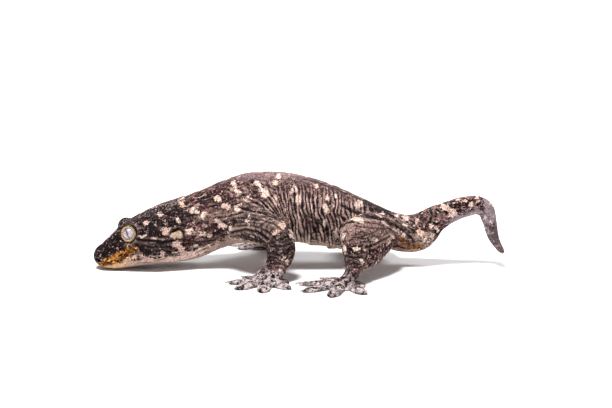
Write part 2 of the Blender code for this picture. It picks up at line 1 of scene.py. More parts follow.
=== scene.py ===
"""A New Caledonian giant gecko, life size, in its own skin, scales, eyes and claws.

Metres, +Z up. The animal faces -X with its left side at -Y, and its chin and soles lie on the floor at
Z = 0. Shapes are drawn in the plan, whose Y = 0 runs near the spine, and moved to the frame at the end.
"""

import math

import bmesh
import bpy
import numpy as np
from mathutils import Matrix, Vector, noise
from mathutils.bvhtree import BVHTree
from mathutils.kdtree import KDTree


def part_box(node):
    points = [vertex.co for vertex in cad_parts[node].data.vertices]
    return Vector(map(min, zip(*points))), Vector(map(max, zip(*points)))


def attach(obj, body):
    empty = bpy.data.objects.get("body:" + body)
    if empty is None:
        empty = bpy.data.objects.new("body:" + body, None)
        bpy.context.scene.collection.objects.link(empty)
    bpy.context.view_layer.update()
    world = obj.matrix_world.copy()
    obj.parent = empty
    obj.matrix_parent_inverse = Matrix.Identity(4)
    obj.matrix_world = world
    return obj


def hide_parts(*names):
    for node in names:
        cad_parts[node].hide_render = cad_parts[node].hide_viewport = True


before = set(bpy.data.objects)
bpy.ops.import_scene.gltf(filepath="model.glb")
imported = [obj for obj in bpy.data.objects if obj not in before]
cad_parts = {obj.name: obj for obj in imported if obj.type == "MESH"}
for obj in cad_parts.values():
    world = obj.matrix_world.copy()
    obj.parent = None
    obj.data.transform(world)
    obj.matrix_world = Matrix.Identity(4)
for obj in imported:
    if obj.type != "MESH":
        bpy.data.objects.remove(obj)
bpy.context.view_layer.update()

# The flesh from snout to tail. The real animal is one soft, heavy body: a broad wedge of a head, a thick
# neck, a deep trunk that arches over the hips, and a short tail stub that bends down at its end.
MM = 0.001
SPINE = (
    # x, y, z, half width, rise, drop, taper, boxiness
    (-159.0, -15.8, 7.2, 9.6, 6.0, 6.9, 0.10, 2.4),  # snout tip
    (-153.5, -14.5, 9.6, 12.4, 7.6, 9.2, 0.12, 2.5),  # nostrils
    (-145.0, -12.6, 12.6, 15.6, 11.2, 12.7, 0.20, 2.5),
    (-136.5, -10.7, 15.8, 19.6, 14.9, 14.6, 0.20, 2.7),  # eyes
    (-127.5, -8.8, 19.2, 23.8, 17.6, 16.8, 0.16, 2.6),
    (-114.5, -6.2, 23.2, 28.0, 20.6, 20.0, 0.10, 2.4),  # jaw angle
    (-101.5, -4.0, 26.6, 27.8, 22.8, 23.2, 0.06, 2.3),  # ears
    (-86.0, -2.0, 31.4, 25.4, 23.2, 25.6, 0.05, 2.2),  # neck
    (-70.0, -0.6, 37.4, 27.0, 22.4, 25.2, 0.05, 2.15),
    (-54.0, 0.2, 42.6, 30.6, 24.2, 25.4, 0.05, 2.15),  # shoulders
    (-38.0, 0.8, 45.2, 33.4, 26.8, 26.4, 0.05, 2.15),
    (-20.0, 1.2, 45.8, 34.6, 27.0, 26.8, 0.05, 2.15),  # top of the back
    (0.0, 1.4, 44.0, 34.2, 25.6, 25.6, 0.05, 2.15),
    (18.0, 1.0, 39.8, 32.4, 24.0, 24.0, 0.05, 2.15),
    (36.0, 0.4, 34.4, 28.6, 21.8, 21.6, 0.05, 2.15),
    (53.5, 0.0, 30.2, 23.4, 18.6, 18.0, 0.05, 2.1),  # hips
    (70.0, -0.4, 27.4, 17.4, 14.6, 14.2, 0.04, 2.1),  # vent
    (83.0, -1.0, 25.9, 16.8, 13.4, 15.6, 0.04, 2.1),  # paired bulges behind the vent
    (91.0, -1.6, 27.2, 15.8, 12.9, 16.0, 0.04, 2.1),
    (97.0, -2.1, 30.2, 14.2, 12.1, 14.0, 0.03, 2.1),
    (104.5, -3.0, 35.8, 11.6, 10.8, 10.6, 0.02, 2.0),  # the bulges end in a step
    (116.0, -4.4, 42.2, 9.6, 8.8, 8.6, 0.0, 2.0),  # root of the tail proper
    (128.0, -6.6, 46.8, 8.6, 8.0, 7.8, 0.0, 2.0),
    (137.0, -8.4, 48.4, 7.8, 7.4, 7.2, 0.0, 2.0),
    (143.2, -9.8, 45.8, 7.0, 6.8, 6.6, 0.0, 2.0),  # the tail bends down
    (145.8, -10.8, 39.6, 6.0, 5.8, 5.8, 0.0, 2.0),
    (147.8, -11.8, 31.6, 5.2, 4.9, 5.0, 0.0, 2.0),
    (150.6, -13.0, 22.6, 4.1, 3.8, 3.9, 0.0, 2.0),
    (154.2, -14.0, 16.4, 3.0, 2.7, 2.8, 0.0, 2.0),
    (158.0, -15.0, 11.4, 1.7, 1.6, 1.6, 0.0, 2.0),  # tail tip
)
SNOUT_ROUND, TAIL_ROUND = 7.0 * MM, 3.0 * MM
PART_SPINE, PART_HEAD = 0, 9


def slopes(knots, values, limited):
    """Tangents for a smooth curve through values; limited ones never overshoot."""
    step = np.diff(knots)[:, None]
    rise = np.diff(values, axis=0) / step
    between = (rise[:-1] * step[1:] + rise[1:] * step[:-1]) / (step[1:] + step[:-1])
    tangent = np.vstack([rise[:1], between, rise[-1:]])
    if limited:
        before, after = np.vstack([rise[:1], rise]), np.vstack([rise, rise[-1:]])
        most = 3 * np.minimum(abs(before), abs(after))
        tangent = np.where(before * after > 0, np.clip(tangent, -most, most), 0)
    return tangent


class Track:
    """A centre line with sizes along it. Rows hold x, y, z and then the sizes, in millimetres."""

    def __init__(self, rows, ratios=0):
        table = np.array(rows, float)
        table[:, : table.shape[1] - ratios] *= MM
        self.table = table
        self.knots = np.append(0, np.cumsum(np.linalg.norm(np.diff(table[:, :3], axis=0), axis=1)))
        self.length = self.knots[-1]
        place_slopes = slopes(self.knots, table[:, :3], False)
        self.tangent = np.hstack([place_slopes, slopes(self.knots, table[:, 3:], True)])

    def row(self, at):
        at = np.atleast_1d(at)
        i = np.clip(np.searchsorted(self.knots, at) - 1, 0, len(self.knots) - 2)
        span = (self.knots[i + 1] - self.knots[i])[:, None]
        t = (at - self.knots[i])[:, None] / span
        return (
            self.table[i] * (2 * t**3 - 3 * t**2 + 1)
            + self.tangent[i] * span * (t**3 - 2 * t**2 + t)
            + self.table[i + 1] * (3 * t**2 - 2 * t**3)
            + self.tangent[i + 1] * span * (t**3 - t**2)
        )

    def heading(self, at):
        reach = 0.2 * MM
        before, after = np.maximum(at - reach, 0), np.minimum(at + reach, self.length)
        way = self.row(after)[:, :3] - self.row(before)[:, :3]
        return way / np.linalg.norm(way, axis=1)[:, None]

    def at_x(self, x):
        fine = np.linspace(0, self.length, 2000)
        return float(np.interp(x, self.row(fine)[:, 0], fine))


def level_frames(ways):
    """Side and up vectors that keep the side level."""
    side = np.cross([0.0, 0.0, 1.0], ways)
    side /= np.linalg.norm(side, axis=1)[:, None]
    return side, np.cross(ways, side)


def oval(angles, sizes):
    """A section's offsets to the side and up, boxier than an ellipse and narrower at the top."""
    half_width, rise, drop, taper, boxiness = sizes
    c, s = np.cos(angles), np.sin(angles)
    up = np.where(s > 0, rise, drop) * np.sign(s) * abs(s) ** (2 / boxiness)
    side = half_width * np.sign(c) * abs(c) ** (2 / boxiness) * (1 - taper * s)
    return side, up


class Flesh:
    """Closed tubes and balls that overlap, to be melted into one. Marks say what each point lies on."""

    def __init__(self):
        self.points, self.faces, self.marks = [], [], []

    def tube(self, rings, part, along):
        """rings is stations by sides by 3; along is each station's place on the part's own length."""
        count, sides = rings.shape[:2]
        turn = 2 * math.pi * np.arange(sides) / sides
        start = sum(len(p) for p in self.points)
        i, j = np.meshgrid(np.arange(count - 1), np.arange(sides), indexing="ij")
        a, b = i * sides + j, i * sides + (j + 1) % sides
        quads = np.stack([a, b, b + sides, a + sides], -1).reshape(-1, 4)
        near, far = count * sides, count * sides + 1
        first, last = np.arange(sides), (count - 1) * sides + np.arange(sides)
        caps = [np.stack([np.full(sides, near), np.roll(first, -1), first], -1)]
        caps.append(np.stack([np.full(sides, far), last, np.roll(last, -1)], -1))
        faces = np.vstack([quads[:, [0, 1, 2]], quads[:, [0, 2, 3]], *caps])
        marks = np.zeros((count * sides + 2, 4))
        marks[:, 0] = part
        marks[:-2, 1] = np.repeat(along, sides)
        marks[-2:, 1] = along[0], along[-1]
        marks[:-2, 2], marks[:-2, 3] = np.tile(np.cos(turn), count), np.tile(np.sin(turn), count)
        self.points.append(np.vstack([rings.reshape(-1, 3), rings[0].mean(0), rings[-1].mean(0)]))
        self.faces.append(faces + start)
        self.marks.append(marks)

    def ball(self, centre, radii, axes, part, along, sides=48):
        basis, tilts = np.array(axes, float), np.linspace(0.02, math.pi - 0.02, sides // 2)
        turn = 2 * math.pi * np.arange(sides) / sides
        pole, girth = -np.cos(tilts)[:, None], np.sin(tilts)[:, None]
        unit = np.stack(np.broadcast_arrays(pole, girth * np.cos(turn), girth * np.sin(turn)), -1)
        self.tube(np.array(centre) + (unit * np.array(radii)) @ basis, part, np.full(len(tilts), along))

    def joined(self):
        return np.vstack(self.points), np.vstack(self.faces), np.vstack(self.marks)


SPINE_TRACK = Track(SPINE, ratios=2)
flesh = Flesh()
snout_at = SNOUT_ROUND * np.linspace(0, 1, 16)[:-1] ** 2
spine_at = np.append(snout_at, np.linspace(SNOUT_ROUND, SPINE_TRACK.length, 300))
spine_ways = SPINE_TRACK.heading(spine_at)
spine_side, spine_up = level_frames(spine_ways)
nose = np.clip(spine_at / SNOUT_ROUND, 0, 1)
tip = np.clip((SPINE_TRACK.length - spine_at) / TAIL_ROUND, 0, 1)
ends = np.maximum(np.sqrt(1 - (1 - nose) ** 2) * np.sqrt(1 - (1 - tip) ** 2), 0.06)
spine_rows = SPINE_TRACK.row(spine_at)
spine_rows[:, 3:6] *= ends[:, None]
angles = 2 * math.pi * np.arange(120) / 120
across, above = oval(angles[None, :], [spine_rows[:, k][:, None] for k in range(3, 8)])
spine_rings = spine_rows[:, None, :3] + across[..., None] * spine_side[:, None]
flesh.tube(spine_rings + above[..., None] * spine_up[:, None], PART_SPINE, spine_at)

# The orbits, and where each eyeball sits. The real eye is lidless under a clear scale, set high on the
# side of the head in a rounded bulge of skin and bone.
EYE_X, EYE_OUT, EYE_UP = -129.4 * MM, 13.4 * MM, 11.2 * MM
EYE_RADIUS = 6.0 * MM
EYE_LOOKS_UP, EYE_LOOKS_AHEAD = math.radians(14), math.radians(16)
ORBIT_RADIUS, ORBIT_SINKS = 7.2 * MM, 1.2 * MM


def eye_frame(right):
    """The eyeball's centre and the way it looks, on the left or the right."""
    at = np.array([SPINE_TRACK.at_x(EYE_X)])
    way = SPINE_TRACK.heading(at)
    side, up = level_frames(way)
    out = side[0] if right else -side[0]
    looks = out * math.cos(EYE_LOOKS_UP) * math.cos(EYE_LOOKS_AHEAD)
    looks = looks + up[0] * math.sin(EYE_LOOKS_UP) - way[0] * math.sin(EYE_LOOKS_AHEAD)
    centre = SPINE_TRACK.row(at)[0, :3] + out * EYE_OUT + up[0] * EYE_UP
    return centre, looks / np.linalg.norm(looks)


def ring_axes(looks):
    across = np.cross(looks, [0.0, 0.0, 1.0])
    across /= np.linalg.norm(across)
    return across, np.cross(across, looks)


for right in (False, True):
    eye_centre, eye_looks = eye_frame(right)
    flesh.ball(eye_centre - eye_looks * ORBIT_SINKS, (ORBIT_RADIUS,) * 3, np.eye(3), PART_HEAD, 0.02)
eye_low, eye_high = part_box("eye_left")
PLAN_TO_FRAME = np.array((eye_low + eye_high) / 2) - eye_frame(False)[0]

# Legs, hands and feet. The real limbs are short, thick and loose-skinned, with a fold of skin behind each
# thigh, and every hand and foot spreads five leaf-shaped toes, webbed at the base, on the ground.
FRONT_LEG = (
    (-54.0, -14.0, 38.0, 13.5, 13.0),  # inside the shoulder
    (-43.0, -29.0, 38.6, 14.0, 13.5),
    (-28.0, -42.0, 37.0, 13.0, 13.0),
    (-16.5, -50.5, 31.5, 11.6, 12.0),  # elbow
    (-14.0, -55.0, 22.0, 10.6, 10.4),
    (-17.0, -59.5, 12.4, 9.6, 7.4),  # wrist
    (-22.5, -64.5, 6.0, 11.0, 4.8),  # palm
    (-28.5, -70.5, 3.0, 9.5, 3.0),
)
HIND_LEG = (
    (66.0, -9.0, 27.0, 13.0, 12.5),  # inside the hip
    (58.5, -23.0, 30.0, 14.5, 13.5),
    (48.5, -38.0, 33.5, 13.5, 13.2),
    (41.5, -49.5, 33.5, 11.6, 11.6),  # knee
    (41.5, -57.5, 26.0, 11.2, 9.8),
    (41.5, -64.0, 16.5, 10.0, 7.2),
    (39.5, -69.5, 9.8, 9.0, 5.2),  # ankle
    (35.5, -75.0, 5.8, 10.2, 4.2),  # sole
    (30.0, -80.0, 3.2, 10.0, 2.8),
)
THIGH_WEB = (
    (71.0, -15.0, 27.0, 5.5, 6.0),
    (63.0, -32.0, 24.0, 8.5, 8.0),
    (54.5, -48.0, 19.5, 9.5, 7.5),
    (47.0, -61.5, 12.0, 6.0, 4.5),
)
HAND_HEADING, HAND_CENTRE = math.radians(228), (-23.5 * MM, -66.5 * MM)
HAND_DIGITS = ((-86, 24), (-44, 29), (-4, 31), (36, 31), (80, 26))
FOOT_HEADING, FOOT_CENTRE = math.radians(220), (32.5 * MM, -75.5 * MM)
FOOT_DIGITS = ((-90, 25), (-46, 33), (-6, 36), (34, 37), (78, 31))
PAD_HALF_WIDTH = 5.0 * MM
WEB_RADIUS, WEB_THICKNESS = 16.0 * MM, 2.4 * MM
RIGHT_FRONT_SHIFT, RIGHT_HIND_SHIFT = (-8.0, -3.0), (7.0, -3.0)
RIGHT_FRONT_DROP, RIGHT_HIND_DROP = 3.0, 9.0
UPRIGHT = ((0, 0, 1), (1, 0, 0), (0, 1, 0))
LIMBS = (("front", False, 1), ("front", True, 2), ("hind", False, 3), ("hind", True, 4))
DIGIT_PART = 10  # a hand's or foot's part number is its limb's plus this


def bell(value, middle, reach):
    return np.exp(-(((value - middle) / reach) ** 2))


def on_side(rows, right, shift, drop):
    """A limb's rows on its own side, the right one a little off the mirror image and lower at its bend."""
    if not right:
        return list(rows)
    made = []
    for i, (x, y, z, *sizes) in enumerate(rows):
        share = i / (len(rows) - 1)
        along, across = share * shift[0], share * shift[1]
        made.append((x + along, -y - across, z - drop * bell(share, 0.42, 0.26), *sizes))
    return made


def carried_frames(ways, last_side):
    """Side and up vectors carried back from the end of a line without twist."""
    sides = [last_side]
    for way in ways[-2::-1]:
        side = sides[-1] - np.dot(sides[-1], way) * way
        sides.append(side / np.linalg.norm(side))
    side = np.array(sides[::-1])
    return side, np.cross(ways, side)


def limb_rings(rows, stations, sides, last_side, round_end=True):
    track = Track(rows)
    at = np.linspace(0, track.length, stations)
    side, up = carried_frames(track.heading(at), np.array(last_side, float))
    row = track.row(at)
    shrink = np.ones(stations)
    if round_end:
        near = np.clip(np.minimum(at, track.length - at) / row[:, 4], 0, 1)
        shrink = np.maximum(0.3, np.sqrt(1 - (1 - near) ** 2))
    turn = 2 * math.pi * np.arange(sides) / sides
    wide = (row[:, 3] * shrink)[:, None, None] * np.cos(turn)[None, :, None]
    high = (row[:, 4] * shrink)[:, None, None] * np.sin(turn)[None, :, None]
    return row[:, None, :3] + wide * side[:, None] + high * up[:, None], at


def digit_rows(centre, heading, length):
    """A toe in millimetres: narrow at the web, wide at the pad, ending at the claw's root."""
    way = np.array([math.cos(heading), math.sin(heading)])
    pad = PAD_HALF_WIDTH / MM
    shape = (  # share of the length, height of the middle, half width, half height
        (0.10, 2.6, 3.8, 2.6),
        (0.38, 2.8, 4.0, 2.6),
        (0.56, 2.0, pad * 0.94, 2.2),
        (0.74, 1.4, pad, 1.9),
        (0.91, 1.1, pad * 0.76, 1.6),
        (1.0, 1.0, pad * 0.36, 1.2),
    )
    rows = []
    for share, height, half_width, half_height in shape:
        place = np.array(centre) / MM + way * length * share
        rows.append((place[0], place[1], height, half_width, half_height))
    return rows


def hand_layout(kind, right):
    """The middle of a hand or foot, the way each toe points, and each toe's length in millimetres."""
    front = kind == "front"
    shift = RIGHT_FRONT_SHIFT if front else RIGHT_HIND_SHIFT
    centre, heading = (HAND_CENTRE, HAND_HEADING) if front else (FOOT_CENTRE, FOOT_HEADING)
    digits, hand = (HAND_DIGITS if front else FOOT_DIGITS), 1
    if right:
        centre = (centre[0] + shift[0] * MM, -centre[1] - shift[1] * MM)
        heading, hand = -heading, -1
    return centre, [(heading + hand * math.radians(turn), length) for turn, length in digits]


for kind, right, part in LIMBS:
    front = kind == "front"
    shift, drop = (RIGHT_FRONT_SHIFT, RIGHT_FRONT_DROP) if front else (RIGHT_HIND_SHIFT, RIGHT_HIND_DROP)
    rows = on_side(FRONT_LEG if front else HIND_LEG, right, shift, drop)
    tip_way = Track(rows).heading(np.array([1.0]))[0]
    level = np.cross([0.0, 0.0, 1.0], tip_way)
    rings, at = limb_rings(rows, 90, 64, level / np.linalg.norm(level))
    flesh.tube(rings, part, at)
    if not front:
        rings, at = limb_rings(on_side(THIGH_WEB, right, (0, 0), drop * 0.6), 50, 40, (0.0, 0.0, 1.0))
        flesh.tube(rings, part, at)
    centre, toes = hand_layout(kind, right)
    flesh.ball((*centre, 0.6 * MM), (WEB_THICKNESS, WEB_RADIUS, WEB_RADIUS), UPRIGHT, part + DIGIT_PART, 0.0)
    for way, length in toes:
        level = (math.sin(way), -math.cos(way), 0)
        rings, at = limb_rings(digit_rows(centre, way, length), 40, 28, level, round_end=False)
        flesh.tube(rings, part + DIGIT_PART, at)

# The view is the photograph's own: from the animal's left, a little above the floor, with a long lens.
# The markings further down are laid out in the same picture, column and row, and then kept on the skin.
VIEW_RISE = math.radians(10)
VIEW_DISTANCE = 1.1
VIEW_TARGET = np.array([4.7, 0.0, 48.0]) * MM
PICTURE_WIDTH, PICTURE_HEIGHT = 612, 408
SENSOR_WIDTH = 36.0
MM_PER_PIXEL = 0.78
FOCAL_PIXELS = VIEW_DISTANCE / (MM_PER_PIXEL * MM)
view_forward = np.array([0.0, math.cos(VIEW_RISE), -math.sin(VIEW_RISE)])
view_up = np.array([0.0, math.sin(VIEW_RISE), math.cos(VIEW_RISE)])
view_place = VIEW_TARGET - view_forward * VIEW_DISTANCE

camera_data = bpy.data.cameras.new("camera")
camera_data.sensor_width = SENSOR_WIDTH
camera_data.lens = FOCAL_PIXELS / PICTURE_WIDTH * SENSOR_WIDTH
camera_data.clip_end = 20.0
camera = bpy.data.objects.new("camera", camera_data)
camera.location = view_place + PLAN_TO_FRAME
camera.rotation_euler = (math.radians(90) - VIEW_RISE, 0, 0)
bpy.context.scene.collection.objects.link(camera)
bpy.context.scene.camera = camera


def picture_place(points):
    """Column and row of each point in the picture. The right side is seen as in a mirror."""
    spine_y = np.interp(points[:, 0], spine_rows[:, 0], spine_rows[:, 1])
    seen = points.copy()
    seen[:, 1] = spine_y - abs(points[:, 1] - spine_y)
    ray = seen - view_place
    depth = ray @ view_forward
    column = PICTURE_WIDTH / 2 + FOCAL_PIXELS * ray[:, 0] / depth
    row = PICTURE_HEIGHT / 2 - FOCAL_PIXELS * (ray @ view_up) / depth
    return np.stack([column, row], 1)


# The skin. One loose, granular hide covers the whole animal without a seam. It is melted from the flesh,
# eased where the limbs join, and then creased: fine upright folds on the flanks, a fan over the shoulder.
VOXEL = 0.66 * MM
SKIN_TRIANGLES = 190000
EASE_STEPS = (0.5, -0.52) * 4  # each pull in is followed by a push out, so nothing shrinks
JOIN_REACH, JOIN_ROUNDS = 4.5 * MM, 24  # how far from a joint of limb and body the skin is eased


def mesh_from(name, points, faces):
    mesh = bpy.data.meshes.new(name)
    faces = faces.tolist() if isinstance(faces, np.ndarray) else faces
    mesh.from_pydata(np.asarray(points).tolist(), [], faces)
    made = bpy.data.objects.new(name, mesh)
    bpy.context.scene.collection.objects.link(made)
    return made


def applied(thing):
    """The object with its modifiers made part of its mesh."""
    graph = bpy.context.evaluated_depsgraph_get()
    mesh = bpy.data.meshes.new_from_object(thing.evaluated_get(graph))
    thing.modifiers.clear()
    thing.data = mesh
    return thing


def get_points(mesh):
    points = np.empty(len(mesh.vertices) * 3, np.float32)
    mesh.vertices.foreach_get("co", points)
    return points.reshape(-1, 3).astype(float)


def set_points(mesh, points):
    mesh.vertices.foreach_set("co", np.asarray(points, np.float32).ravel())
    mesh.update()


def get_normals(mesh):
    normals = np.empty(len(mesh.vertices) * 3, np.float32)
    mesh.vertex_normals.foreach_get("vector", normals)
    return normals.reshape(-1, 3).astype(float)


def get_edges(mesh):
    edges = np.empty(len(mesh.edges) * 2, np.int32)
    mesh.edges.foreach_get("vertices", edges)
    return edges.reshape(-1, 2)


def smoothed(points, edges, rounds, pull):
    """Eases points towards their neighbours; pull is one number or one for each point."""
    count = np.bincount(edges.ravel(), minlength=len(points)).astype(float)
    pull = np.broadcast_to(pull, len(points))[:, None]
    for _ in range(rounds):
        total = np.stack(
            [
                np.bincount(edges[:, 0], points[edges[:, 1], k], len(points))
                + np.bincount(edges[:, 1], points[edges[:, 0], k], len(points))
                for k in range(3)
            ],
            1,
        )
        points = points + pull * (total / count[:, None] - points)
    return points


def smooth_step(value, low, high):
    t = np.clip((value - low) / (high - low), 0, 1)
    return t * t * (3 - 2 * t)


def waves(places, scale, seed):
    """Smooth noise between about -1 and 1 at each place."""
    offset = Vector((seed * 17.3, seed * 5.1, seed * 9.7))
    return np.array([noise.noise(Vector(p) * scale + offset) for p in places])


class Ground:
    """The nearest place on some of the flesh: how far it is, and that place's marks."""

    def __init__(self, points, faces, marks):
        self.points, self.faces, self.marks = points, faces, marks
        self.tree = BVHTree.FromPolygons(points.tolist(), faces.tolist())

    def distance(self, places):
        return np.array([self.tree.find_nearest(p)[3] for p in places.tolist()])

    def look_up(self, places):
        found = [self.tree.find_nearest(p) for p in places.tolist()]
        hit = np.array([f[0] for f in found])
        corner = self.faces[[f[2] for f in found]]
        a, b, c = (self.points[corner[:, k]] for k in range(3))
        ab, ac, ap = b - a, c - a, hit - a
        d00, d01, d11 = (ab * ab).sum(1), (ab * ac).sum(1), (ac * ac).sum(1)
        d20, d21 = (ap * ab).sum(1), (ap * ac).sum(1)
        whole = np.maximum(d00 * d11 - d01 * d01, 1e-30)
        v, w = (d11 * d20 - d01 * d21) / whole, (d00 * d21 - d01 * d20) / whole
        weight = np.clip(np.stack([1 - v - w, v, w], 1), 0, 1)
        weight /= weight.sum(1)[:, None]
        return (self.marks[corner] * weight[..., None]).sum(1)


flesh_points, flesh_faces, flesh_marks = flesh.joined()
skin = mesh_from("skin", flesh_points, flesh_faces)
melt = skin.modifiers.new("melt", "REMESH")
melt.mode = "VOXEL"
melt.voxel_size = VOXEL
applied(skin)
points, edges = get_points(skin.data), get_edges(skin.data)
for pull in EASE_STEPS:
    points = smoothed(points, edges, 1, pull)

face_part = flesh_marks[flesh_faces[:, 0], 0]
trunk = Ground(flesh_points, flesh_faces[(face_part == PART_SPINE) | (face_part == PART_HEAD)], flesh_marks)
limb_part = (face_part > PART_SPINE) & (face_part != PART_HEAD)
limbs = Ground(flesh_points, flesh_faces[limb_part & (face_part < DIGIT_PART)], flesh_marks)
hands = Ground(flesh_points, flesh_faces[face_part >= DIGIT_PART], flesh_marks)
to_trunk, to_limb, to_hand = trunk.distance(points), limbs.distance(points), hands.distance(points)
join = np.exp(-((np.maximum(to_trunk, to_limb) / JOIN_REACH) ** 2))
join = np.maximum(join, np.exp(-((np.maximum(to_hand, to_limb) / (JOIN_REACH * 0.6)) ** 2)))
points = smoothed(points, edges, JOIN_ROUNDS, 0.5 * join)

# Folds, the line of the mouth, the nostrils and the ears, pressed into the skin. Places are in the
# picture; sizes are real ones. Each crease keeps its depth so that the hide can darken in it, partly in
# its own dark colour and partly as painted shade.
FOLD_PIXELS = 3.9
FOLD_DEPTH = 1.15 * MM
LIMB_RING_GAP, TAIL_RING_GAP = 3.3 * MM, 2.3 * MM
NECK_WRINKLE_PIXELS = 4.4
MOUTH_HALF_WIDTH, MOUTH_DEPTH, LIP_RISE = 0.55 * MM, 0.85 * MM, 0.35 * MM
PAD_PLATE_GAP, PAD_PLATE_RISE = 1.1 * MM, 0.3 * MM  # the ridges under the toes
ARMPIT = (289.0, 228.0)  # the shoulder's folds fan out from here
FAN_PIXELS = 33.0
BACK_FOLD_AT, BACK_FOLD_WIDE = math.radians(77), math.radians(2.6)  # a low fold along each side of the back
PITS = (  # column, row, tilt, half length and half width in pixels, depth in mm
    (98.8, 260.2, 70, 2.1, 1.6, 1.5),  # nostril
    (174.6, 230.8, -30, 4.6, 1.6, 1.9),  # ear
)
EYE_OPENING = 4.3 * MM
LID_STEPS = (-0.5, -0.1, 0.3, 1.1, 2.0, 2.5, 3.2)  # mm out from the edge of the opening
LID_END = 9.2  # mm out from its middle
LID_HEIGHTS = (1.6, 2.4, 4.1, 4.55, 4.5, 3.7, 2.8, 2.5, -0.6)  # mm, at the middle, the steps and the end
CREASES = (  # points in the picture, then depth in mm and half width in pixels
    (((137, 239), (144, 240.5), (152, 241), (163, 242.5), (175, 240.5)), 0.75, 1.3),
    (((169.5, 233.5), (172, 231.5), (175, 229.8), (179.5, 229), (183, 231.5), (184, 236)), 0.7, 1.0),
    (((171, 239.5), (175, 240.5), (180, 240)), 0.4, 0.8),
    (((150, 243.5), (162, 244.5), (172, 247), (181, 253)), 0.4, 0.8),
    (((156, 251), (168, 251.5), (178, 255.5)), 0.35, 0.8),
    (((134, 249.5), (137, 254), (143, 259)), 0.4, 0.9),
    (((148, 247), (158, 246.5), (168, 247), (178, 251)), 0.35, 0.9),
    (((212, 218.5), (222, 217.5), (232, 215.5), (243, 212)), 0.55, 0.9),
    (((238, 207), (250, 210.5), (262, 213), (274, 217), (283, 222)), 0.8, 1.1),
    (((232, 232), (246, 229.5), (258, 232), (268, 239)), 0.8, 1.2),
    (((238, 226), (250, 225.5), (261, 228), (270, 233), (277, 240)), 0.5, 0.9),
    (((250, 219), (262, 220.5), (274, 224), (283, 231)), 0.5, 0.9),
    (((238, 218), (250, 217.5), (262, 219.5)), 0.4, 0.8),
    (((243, 201), (250, 205), (257, 212)), 0.5, 0.8),
    (((249, 199), (257, 204), (263, 211)), 0.5, 0.8),
    (((256, 198), (263, 203), (270, 211)), 0.5, 0.8),
    (((228, 190), (236, 194), (244, 195)), 0.4, 0.9),
    (((262, 184.5), (268, 186), (275, 190)), 0.5, 0.8),
    (((196, 243), (206, 241), (217, 240)), 0.4, 0.9),
    (((342, 205), (350, 210), (360, 214.5), (372, 217), (383, 219), (393, 224), (404, 231)), 0.9, 1.6),
    (((350, 225), (362, 227), (374, 228.5), (386, 229)), 0.45, 0.8),
    (((364, 222.5), (376, 223.5), (386, 226.5), (394, 232)), 0.5, 0.8),
    (((342, 239), (341, 234), (345, 231), (349, 234)), 0.5, 0.8),
    (((349, 241), (356, 237.5), (366, 235.5)), 0.4, 0.8),
    (((356, 231), (366, 233), (376, 236.5), (386, 241)), 0.35, 0.8),
    (((341, 236), (340, 228), (346, 223), (354, 221.5)), 0.7, 1.1),
    (((366, 247), (374, 245), (383, 240), (391, 236)), 0.6, 1.0),
    (((360, 238), (370, 234), (381, 229), (390, 228)), 0.35, 0.8),
    (((356, 243), (366, 241.5), (378, 236)), 0.3, 0.8),
    (((386, 223), (394, 227.5), (400, 232)), 0.5, 1.0),
    (((396, 221), (404, 227), (410, 233)), 0.5, 1.0),
    (((407, 233), (413, 240), (414, 247)), 0.5, 1.2),
    (((430, 222), (432, 214), (430, 209)), 0.4, 1.0),
    (((399, 216), (406, 221.5), (414, 227)), 0.45, 0.8),
    (((409, 214.5), (415, 220), (422, 224)), 0.4, 0.8),
    (((436, 209), (441, 213), (443, 220)), 0.4, 0.8),
    (((478, 215), (483, 213.5), (489, 214)), 0.3, 0.8),
    (((262, 245), (272, 247), (284, 246), (292, 243)), 0.35, 0.9),
    (((264, 252), (276, 255), (290, 254)), 0.3, 0.8),
    (((346, 256), (354, 258), (362, 257)), 0.4, 1.0),
)


def curve_distance(place, path):
    """How far each place is from a line of points."""
    best = np.full(len(place), 1e9)
    path = np.array(path, float)
    for a, b in zip(path[:-1], path[1:]):
        way = b - a
        t = np.clip(((place - a) @ way) / (way @ way), 0, 1)
        best = np.minimum(best, np.linalg.norm(place - a - t[:, None] * way, axis=1))
    return best


def on_paper(column, row, wide, high):
    """Picture places squeezed for noise that runs along a direction."""
    return np.stack([column / wide, row / high, np.zeros(len(column))], 1)


def flank_folds(place, normals, is_trunk):
    """The flank folds as a count of folds along the body, and how strongly each place is folded."""
    column, row = place.T
    turn = np.arctan2(column - ARMPIT[0], np.maximum(ARMPIT[1] - row, 2.0))
    ahead = np.where(column < ARMPIT[0], turn * FAN_PIXELS, (column - ARMPIT[0]) - 0.16 * (row - 215))
    flat = on_paper(column, row, 11, 26)
    count = ahead / FOLD_PIXELS + 0.9 * waves(flat, 1.0, 3) + 0.45 * waves(flat, 2.6, 4)
    reach = smooth_step(column, 236, 256) * smooth_step(-column, -380, -356)
    reach *= smooth_step(-normals[:, 2], -0.99, -0.7) * smooth_step(normals[:, 2], -1.0, -0.7) * is_trunk
    uneven = np.clip(0.85 + 1.1 * waves(on_paper(column, row, 7, 12), 1.0, 5), 0.2, 1.0)
    reach *= uneven * (0.85 + 0.15 * (row > 205))
    return count, reach


def off_line(count):
    """How far each count is from its nearest whole number, from 0 to 0.5."""
    return abs(count - np.round(count))


def line_and_sides(count, share):
    """A thin line at each whole count, and the raised skin on either side of it."""
    far = off_line(count)
    return np.exp(-((far / 0.17) ** 2)) * share, bell(far, 0.38, 0.1) * share


